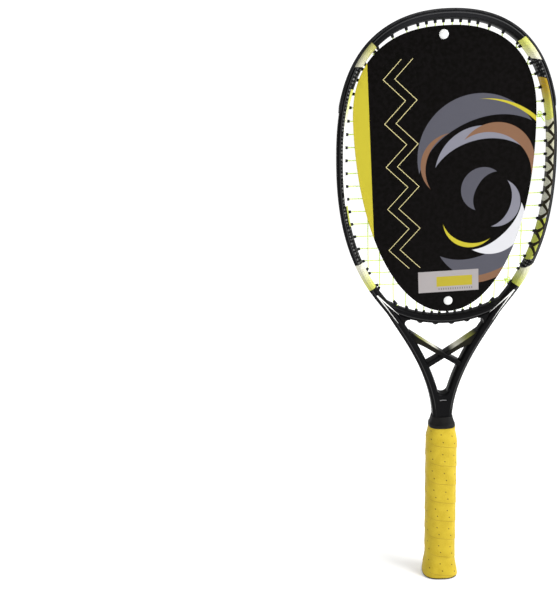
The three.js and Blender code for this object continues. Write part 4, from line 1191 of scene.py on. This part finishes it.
def knot(tie, facing=-1):
    """Two turns round the string, an open loop, and a cut tail. Under the card it faces the back."""
    axis, below = -tie.way, Vector((0, 0, -1))
    mouth = tie.bend + tie.way * BEND_REACH + Y_AXIS * (DEEP_KNOT if facing > 0 else 0.0)
    down = (below - axis * axis.dot(below)).normalized()
    front = axis.cross(down)
    front *= facing if front.y > 0 else -facing
    spots = list(KNOT_START)
    for k in range(TURN_POINTS):
        angle = 2 * math.pi * k / TURN_STEPS
        spots.append((TURN_START - TURN_PITCH * k / TURN_STEPS, *turned(TURN_RADIUS, 0, angle)))
    for k in range(LOOP_STEPS + 1):
        low, out = turned(LOOP_RADIUS, 0, math.radians(60 - 300 * k / LOOP_STEPS))
        spots.append((LOOP_OUT + out, low - LOOP_UP, LOOP_FRONT))
    return [mouth + axis * out + down * low + front * ahead for out, low, ahead in spots + KNOT_TAIL]


def main_half(sign):
    points, count = [], len(MAIN_XS)
    tie = main_ties[sign]
    # down the first main and up the next: each pair of holes is (top, bottom)
    for i, pair in enumerate(mains[sign]):
        upwards = i % 2
        main = count + i if sign > 0 else count - 1 - i
        passed = crossings([(main, cross) for cross in range(CROSS_COUNT)], 1)
        start, end = pair[upwards], pair[1 - upwards]
        points += span(start, end, passed[::-1] if upwards else passed)
        points += groove(end, mains[sign][i + 1][1 - upwards] if i + 1 < count else tie)
    return points + [tie.out, tie.bend] + knot(tie, -sign)


def main_route():
    crown = [hairpin.at(d, SEAT_DEPTH, MAIN_Y) for d in (1.6, 0.0, -1.6)]
    return main_half(1)[::-1] + crown + main_half(-1)


def cross_route():
    points = knot(top_tie, 1)[::-1] + [top_tie.bend, top_tie.out] + groove(top_tie, crosses[0][-1])
    for i, ends in enumerate(crosses):
        side = -1 if i % 2 == 0 else 1
        passed = crossings([(main, i) for main in range(len(all_mains))], -1)
        points += span(ends[side], ends[-side], passed if side < 0 else passed[::-1])
        points += groove(ends[-side], crosses[i + 1][-side] if i + 1 < len(crosses) else low_tie)
    return points + [low_tie.out, low_tie.bend] + knot(low_tie)


RIB_PITCH = 0.7


def string_nylon():
    """Clear lime nylon with a light core, glossy, faintly ribbed along its length."""
    material, tree = new_material("string_nylon")
    ribs = (attribute_of(tree, "run") * (2 * math.pi / RIB_PITCH)).sine()
    _, specks = use(tree, grain, scale=700.0, detail=2.0)
    return finish(material, specks.mix(srgb(200, 230, 98), srgb(224, 244, 146)), varied(0.3, specks, 0.1),
                  (ribs, 0.15, 0.00004),
                  {"Subsurface Weight": 0.3, "Subsurface Radius": (0.001, 0.001, 0.0004)})


lime_nylon = string_nylon()
for name, route, node in (("mains_woven", main_route(), "main_string"),
                          ("crosses_woven", cross_route(), "cross_string")):
    shell, length = cord(eased(route))
    piece(name, [shell], lime_nylon, "string_nylon", node, crease=80)
    print(f"{name}: {length / 1000:.2f} m of string")

# %% [markdown]
# ## Handle
#
# A perforated tape is wound in a spiral over the padded pallet. Each turn overlaps the last, so
# the surface climbs a small step once per turn. To keep that step crisp, the mesh follows the
# spiral: a column of points at every angle, with the same places in every turn, lowered a little
# from column to column. After a full circle the columns meet one turn lower down.

# %% Handle profile
GRIP_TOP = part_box("overgrip")[1].z / MM
GRIP_WIDTH, GRIP_DEPTH = 33.6, 28.8
NECK_WIDTH, NECK_DEPTH, NECK_LENGTH = 29.0, 24.6, 17.0
BUTT_WIDTH, BUTT_DEPTH, FLARE_LENGTH, BUTT_ROUND = 39.3, 34.0, 26.0, 2.6
TAPE, WRAP_PITCH, WRAP_STEP = 1.5, 22.0, 0.55
STEP_FLOOR = 0.3
SECTION_POWER = 2.7
PLATE = 1.6
TAPE_FOOT = PLATE + FIT
HANDLE_COLUMNS, LINING_STEPS = 96, 40


def handle_half(z, size, neck, butt):
    flare = 1 - smoothstep(z, 0, FLARE_LENGTH)
    near_neck = smoothstep(z, GRIP_TOP - NECK_LENGTH, GRIP_TOP)
    rounding = max(BUTT_ROUND - z, 0.0)
    edge = BUTT_ROUND - math.sqrt(max(BUTT_ROUND ** 2 - rounding ** 2, 0.0))
    return size / 2 + flare * (butt - size) / 2 + near_neck * (neck - size) / 2 - edge


def handle_point(angle, z, inset):
    """A point of the squarish section, taken in from the grip's full size."""
    wide = handle_half(z, GRIP_WIDTH, NECK_WIDTH, BUTT_WIDTH) - inset
    deep = handle_half(z, GRIP_DEPTH, NECK_DEPTH, BUTT_DEPTH) - inset
    return Vector((*squarish(angle, wide, deep, SECTION_POWER), z))


def handle_ring(z, inset):
    return [handle_point(angle, z, inset) for angle in around(HANDLE_COLUMNS, 0.5)]


# %% Tape
# place in a turn from its lower edge up, and how far the tape stands out there
TURN_PLACES = [(0.0, 0.0), (0.004, 0.55), (0.014, 0.86), (0.03, 0.98), (0.06, 1.0), (0.12, 0.93),
               (0.2, 0.8), (0.3, 0.62), (0.4, 0.44), (0.5, 0.29), (0.6, 0.17), (0.7, 0.09), (0.8, 0.04),
               (0.9, 0.01), (1.0, 0.0)]
HOLE_SPACING = 13.2
# place across the tape, shift along it in shares of the spacing
HOLE_ROWS = [(5.2, 0.0), (13.2, 0.18)]


def tape_shell():
    """Outside along the spiral, inside plain, closed at the top and at the butt."""
    turns = math.ceil((GRIP_TOP - TAPE_FOOT) / WRAP_PITCH) + 1
    ring = handle_ring(GRIP_TOP / 2, 0.0)
    round_to = running(ring + ring[:1])
    points, along, across, faces = [], [], [], []
    for k, angle in enumerate(around(HANDLE_COLUMNS, 0.5)):
        for turn in range(turns + 1):
            for share, lift in TURN_PLACES:
                z = WRAP_PITCH * (turn - k / HANDLE_COLUMNS + share)
                out = handle_point(angle, min(max(z, TAPE_FOOT), GRIP_TOP), 0.0)
                flat = Vector((out.x, out.y, 0)).normalized()
                height = STEP_FLOOR + (1 - STEP_FLOOR) * lift if TAPE_FOOT < z < GRIP_TOP else 0.0
                points.append(out + flat * (WRAP_STEP * height - WRAP_STEP))
                along.append(round_to[k] - round_to[-1] * turn)
                across.append(share * WRAP_PITCH)
    per_turn = len(TURN_PLACES)
    rows = per_turn * (turns + 1)
    for k in range(HANDLE_COLUMNS):
        here, following = k * rows, (k + 1) % HANDLE_COLUMNS * rows
        shift = per_turn if following == 0 else 0
        for r in range(rows - 1):
            ahead = [following + min(max(r + d - shift, 0), rows - 1) for d in (0, 1)]
            corners = dict.fromkeys((here + r, *ahead, here + r + 1))
            if len(corners) > 2:
                faces.append(tuple(corners))
    return points, faces, {"tape_along": along, "tape_across": across}


def tape_lining():
    """Rings from the lower edge of the outside, up the inside and out to the upper edge."""
    heights = [TAPE_FOOT + (GRIP_TOP - TAPE_FOOT) * i / LINING_STEPS for i in range(LINING_STEPS + 1)]
    rings = [handle_ring(TAPE_FOOT, WRAP_STEP), *(handle_ring(z, TAPE) for z in heights),
             handle_ring(GRIP_TOP, WRAP_STEP)]
    return loft(rings, ends=False)


def grip_tape():
    """Tacky felt-backed tape: matt, softly grained, with rows of punched holes, and painted shade along the
    lower edge of each turn where it overlaps the last.
    """
    material, tree = new_material("grip_tape")
    along, across = attribute_of(tree, "tape_along"), attribute_of(tree, "tape_across")
    height, fine = use(tree, grain, scale=1100.0, detail=4.0)
    _, soft = use(tree, grain, scale=90.0, detail=3.0)
    dents = []
    for row, shift in HOLE_ROWS:
        phase = (along / HOLE_SPACING + (50.5 + shift)).fraction()
        away = length_of((phase - 0.5) * HOLE_SPACING, across - row)
        dents.append(1.0 - away.rise(0.5, 0.92))
    dent = sum(dents)
    # painted shade: darker at the foot of the step along the lower edge of each turn
    seam_shade = within(across, -1.0, 0.45, 0.5)
    colour = soft.mix(srgb(176, 151, 31), srgb(186, 161, 39))
    colour = (fine * 0.25).mix(colour, srgb(198, 178, 60))
    colour = (seam_shade * 0.6).mix(colour, srgb(128, 100, 18))
    colour = (dent * 0.9).mix(colour, srgb(84, 68, 16))
    return finish(material, colour, varied(0.62, fine, 0.14), (height * 0.35 - dent, 0.8, 0.0003),
                  {"Sheen Weight": 0.05, "Sheen Roughness": 0.5, "Specular IOR Level": 0.15})


piece("wound_tape", [tape_shell(), tape_lining()], grip_tape(), "grip_tape", "overgrip", crease=60)

# %% Butt cap
SKIRT_TOP = PLATE + 12.0
CUSHION, CAP_WALL = 0.9, 1.1
FOAM_INSET = TAPE + FIT + CUSHION + 2 * FIT
ROOM_INSET = FOAM_INSET + CAP_WALL
# height and inset: a rounded plate, then the skirt that plugs onto the foot of the pallet
CAP_PROFILE = [
    (0.0, 2.4), (0.0, 0.5), (0.12, 0.14), (0.45, 0.0), (1.25, 0.0), (1.5, 0.12), (PLATE, 0.5),
    (PLATE, FOAM_INSET + 0.01), (PLATE, FOAM_INSET), (5.0, FOAM_INSET), (9.0, FOAM_INSET),
    (SKIRT_TOP - 0.3, FOAM_INSET), (SKIRT_TOP, FOAM_INSET + 0.3), (SKIRT_TOP, ROOM_INSET - 0.3),
    (SKIRT_TOP - 0.3, ROOM_INSET), (9.0, ROOM_INSET), (5.0, ROOM_INSET), (PLATE + 0.01, ROOM_INSET),
]
piece("butt_cap_moulded", [loft([handle_ring(*row) for row in CAP_PROFILE])], nylon, "trim_plastic",
      "butt_cap")

# %% Collar
COLLAR_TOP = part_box("grip_collar")[1].z / MM
COLLAR_LOW = GRIP_TOP + FIT
# height, width, depth: a band at the foot, a waist above it, a rolled upper edge round the shaft
COLLAR_PROFILE = [(COLLAR_LOW + rise, width, depth) for rise, width, depth in (
    (0.0, 27.4, 24.0), (0.0, 28.0, 24.6), (0.4, 28.4, 25.0), (3.0, 28.0, 24.7), (3.7, 27.6, 24.3),
    (4.1, 26.9, 23.7), (4.6, 26.5, 23.4), (7.6, 24.6, 21.8), (10.0, 23.2, 20.5), (10.6, 23.0, 20.3),
    (11.1, 22.9, 20.2))] + [(COLLAR_TOP - drop, width, depth) for drop, width, depth in (
        (0.3, 22.7, 20.0), (0.0, 22.2, 19.5), (0.0, 21.2, 18.4), (1.0, 20.4, 17.4))]


def collar_ring(z, width, depth):
    return [Vector((*squarish(angle, width / 2, depth / 2, SECTION_POWER), z))
            for angle in around(HANDLE_COLUMNS, 0.5)]


# paler convex edges: partly scuffs, partly painted glints
rubber = speckled("collar_rubber", srgb(10, 10, 10), srgb(18, 17, 16), 0.52, 0.14, (0.3, 0.00008),
                  fine={"scale": 1300.0, "detail": 4.0}, broad={"scale": 160.0, "detail": 3.0},
                  scuffs_and_sheen=(srgb(80, 80, 78), 0.2, 240.0), constants={"Specular IOR Level": 0.12})
piece("collar_moulded", [loft([collar_ring(*row) for row in COLLAR_PROFILE])], rubber, "collar_rubber",
      "grip_collar")

# %% Layers under the tape
def rigid_foam():
    material, tree = new_material("rigid_foam")
    cells = add(tree, "TexVoronoi", place_of(tree), None, 1600.0, output="Distance")
    return finish(material, cells.mix(srgb(60, 60, 58), srgb(84, 84, 80)), varied(0.85, cells, 0.1),
                  (cells, 0.5, 0.0002))


def dress(node, material):
    """A CAD node keeps its mesh and only gets its finish."""
    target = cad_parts[node]
    target.data.materials.clear()
    target.data.materials.append(material)


felt = speckled("cushion_felt", srgb(46, 46, 46), srgb(70, 70, 68), 0.9, 0.1, (0.6, 0.0002),
                fine={"scale": 1800.0, "detail": 5.0})
dress("base_grip", felt)
dress("handle_foam", rigid_foam())

# %% [markdown]
# ## Display card
#
# The card is printed board, held to the strings by two white snap rivets. Its outline is two
# half ellipses of different squareness. The print is flat ink, so it is mixed in the material,
# from the card's own coordinates in millimetres: a yellow edge, an outlined zigzag, sweeping
# arcs in greys, tan and white, and a small label.

# %% Card shape
CARD_TILT, CARD_MIDDLE_X = math.radians(1.84), -0.5
CARD_TOP, CARD_BOTTOM, CARD_HALF = LENGTH - 15.2, BRIDGE_LOWEST + 13.8, HEAD_WIDTH / 2 - 19.0
CARD_MIDDLE_Z = (CARD_TOP + CARD_BOTTOM) / 2
CARD_WIDEST_Z = CARD_TOP - (CARD_TOP - CARD_BOTTOM) * 0.31
UPPER_POWER, LOWER_POWER = 2.35, 2.05
CARD_BACK_Y, CARD_THICKNESS, CARD_EDGE = -2.6, 0.6, 0.12
CARD_FRONT_Y = CARD_BACK_Y - CARD_THICKNESS
FOOT_REACH = 1.5
CARD_SIDES = 180


def card_outline(inset):
    points = []
    for angle in around(CARD_SIDES):
        height, power = CARD_TOP - CARD_WIDEST_Z, UPPER_POWER
        if math.sin(angle) < 0:
            height, power = CARD_WIDEST_Z - CARD_BOTTOM + FOOT_REACH, LOWER_POWER
        u, v = squarish(angle, CARD_HALF - inset, height - inset, power)
        points.append((u, CARD_WIDEST_Z + v - CARD_MIDDLE_Z))
    return points


def card_shell():
    """Rings over the board's edge. The whole card leans a little."""
    rings, card_u, card_v = [], [], []
    for y, inset in ((CARD_FRONT_Y, CARD_EDGE), (CARD_FRONT_Y + CARD_EDGE, 0.0),
                     (CARD_BACK_Y - CARD_EDGE, 0.0), (CARD_BACK_Y, CARD_EDGE)):
        outline = card_outline(inset)
        card_u += [u for u, _ in outline]
        card_v += [v for _, v in outline]
        leaning = [turned(u, v, CARD_TILT) for u, v in outline]
        rings.append([Vector((CARD_MIDDLE_X + x, y, CARD_MIDDLE_Z + z)) for x, z in leaning])
    return loft(rings, marks={"card_u": card_u, "card_v": card_v})


# %% Print
TAN, SLATE, MIST, CARD_BLACK = srgb(116, 86, 66), srgb(76, 76, 84), srgb(116, 116, 126), srgb(6, 5, 4)
CARD_YELLOW, CARD_WHITE, LABEL_GREY = srgb(172, 161, 48), srgb(190, 190, 194), srgb(148, 143, 143)
# centre, radius, half width, middle and half sweep in degrees, colour
SWOOSHES = [
    (40, -2, 66, 13, 112, 66, SLATE), (38, -14, 52, 7, 100, 58, MIST), (46, 2, 40, 6, 60, 74, TAN),
    (44, -22, 22, 8, 150, 80, SLATE), (30, -44, 54, 14, -62, 72, SLATE),
    (36, -40, 40, 8, -48, 58, CARD_WHITE), (24, -40, 70, 4, -78, 46, TAN), (44, -30, 26, 5, -20, 70, MIST),
    (34, -10, 80, 2.2, 40, 52, CARD_YELLOW), (26, -44, 30, 2.6, -110, 60, CARD_YELLOW),
    (12, 6, 34, 3, 160, 60, TAN),
]
YELLOW_EDGE = -73.4
CARD_ZIGZAG_PITCH, CARD_ZIGZAG_U, CARD_ZIGZAG_HALF = 21.0, -53.0, 5.6
CARD_ZIGZAG_LOW, CARD_ZIGZAG_HIGH = -94.0, 112.0
TICK_PITCH = 2.4
# left, right, low and high edge
LABEL, LABEL_FIELD, LABEL_TICKS = (
    (-29.6, 32.0, -120.9, -98.9), (-11.0, 25.5, -115.2, -104.8), (-10.0, 25.5, -118.8, -116.9))


def card_print():
    material, tree = new_material("card_print")
    u, v = attribute_of(tree, "card_u"), attribute_of(tree, "card_v")
    height, paper = use(tree, grain, scale=260.0, detail=3.0)
    colour = paper.mix(CARD_BLACK, srgb(11, 9, 9))
    colour = (YELLOW_EDGE - u).rise(-0.2, 0.2).mix(colour, CARD_YELLOW)
    zigzag = abs(u - CARD_ZIGZAG_U - (v + 200.0).pingpong(CARD_ZIGZAG_PITCH))
    rim = abs(zigzag - CARD_ZIGZAG_HALF)
    outline = (1.0 - rim.rise(0.35, 0.6)) * within(v, CARD_ZIGZAG_LOW, CARD_ZIGZAG_HIGH, 0.3)
    colour = outline.mix(colour, srgb(190, 180, 130))
    for centre_u, centre_v, radius, half, towards, sweep, tone in SWOOSHES:
        colour = use(tree, swoosh, u=u, v=v, centre_u=centre_u, centre_v=centre_v, radius=radius,
                     half=half, towards=towards, sweep=sweep).mix(colour, tone)
    return finish(material, add_label(colour, u, v), varied(0.42, paper, 0.08), (height, 0.1, 0.0001),
                  {"Specular IOR Level": 0.035})


def add_label(colour, u, v):
    """A pale label with a yellow field and a row of plain ticks."""
    def box(left, right, low, high):
        return within(u, left, right, 0.3) * within(v, low, high, 0.3)
    colour = box(*LABEL).mix(colour, LABEL_GREY)
    colour = box(*LABEL_FIELD).mix(colour, srgb(160, 147, 48))
    ticks = within((u / TICK_PITCH).fraction(), 0.3, 0.62, 0.1) * box(*LABEL_TICKS)
    return ticks.mix(colour, srgb(92, 88, 86))


# the unprinted back is grey board with fibres
grey_board = speckled("card_back", srgb(176, 172, 164), srgb(198, 195, 188), 0.8, 0.1, (0.3, 0.0001),
                      fine={"scale": 500.0, "detail": 5.0, "stretch": 2.5})
card = piece("card_printed", [card_shell()], card_print(), "card_board", "display_card", body="card",
             others=(grey_board,))
for face in card.data.polygons:
    face.material_index = 0 if face.normal.y < -0.5 else 1

# %% Rivets and retainers
PRONG_GAP, PRONG, PRONG_WIDTH = 1.9, 1.1, 2.4
RETAINER_THICKNESS, RETAINER_Y = 1.4, 0.15
HEAD_Y = CARD_FRONT_Y - FIT
PRONG_FRONT_Y, PRONG_BACK_Y = HEAD_Y - 0.2, RETAINER_Y + RETAINER_THICKNESS + 2 * FIT
UPPER_RIVET_Z, LOWER_RIVET_Z = CARD_TOP - 8.2, CARD_BOTTOM + 10.0
# distance in front of the dome's foot, radius
DOME = [(0.0, 4.2), (0.0, 4.42), (0.12, 4.5), (0.35, 4.48), (0.62, 4.2), (0.84, 3.5), (0.98, 2.4),
        (1.06, 1.2), (1.1, 0.25)]
DOME_SIDES = 48


def prong(middle, z):
    """A bar along Y with softened edges, from the dome to behind the retainer."""
    corners = [Vector((middle + right * PRONG / 2, z + up * PRONG_WIDTH / 2))
               for right, up in ((-1, -1), (1, -1), (1, 1), (-1, 1))]
    section = soften(corners, 0.25, 2)
    return loft([[Vector((p.x, y, p.y)) for p in section] for y in (PRONG_FRONT_Y, PRONG_BACK_Y)])


white = speckled("white_plastic", srgb(204, 204, 202), srgb(216, 216, 214), 0.35, 0.1, (0.15, 0.00005),
                 fine={"scale": 900.0, "detail": 3.0},
                 constants={"Subsurface Weight": 0.2, "Subsurface Radius": (0.001, 0.001, 0.001)})
for name, x, z in (("top", -MAIN_XS[0], UPPER_RIVET_Z), ("bottom", MAIN_XS[0], LOWER_RIVET_Z)):
    dome = lathe(Vector((x, HEAD_Y, z)), -Y_AXIS, Vector((1, 0, 0)), DOME, DOME_SIDES)
    prongs = [prong(x + sign * (PRONG_GAP + PRONG) / 2, z) for sign in (-1, 1)]
    piece(f"rivet_{name}", [dome, *prongs], white, "rivet_plastic", f"card_rivet_{name}", body="card")
    dress(f"card_retainer_{name}", white)
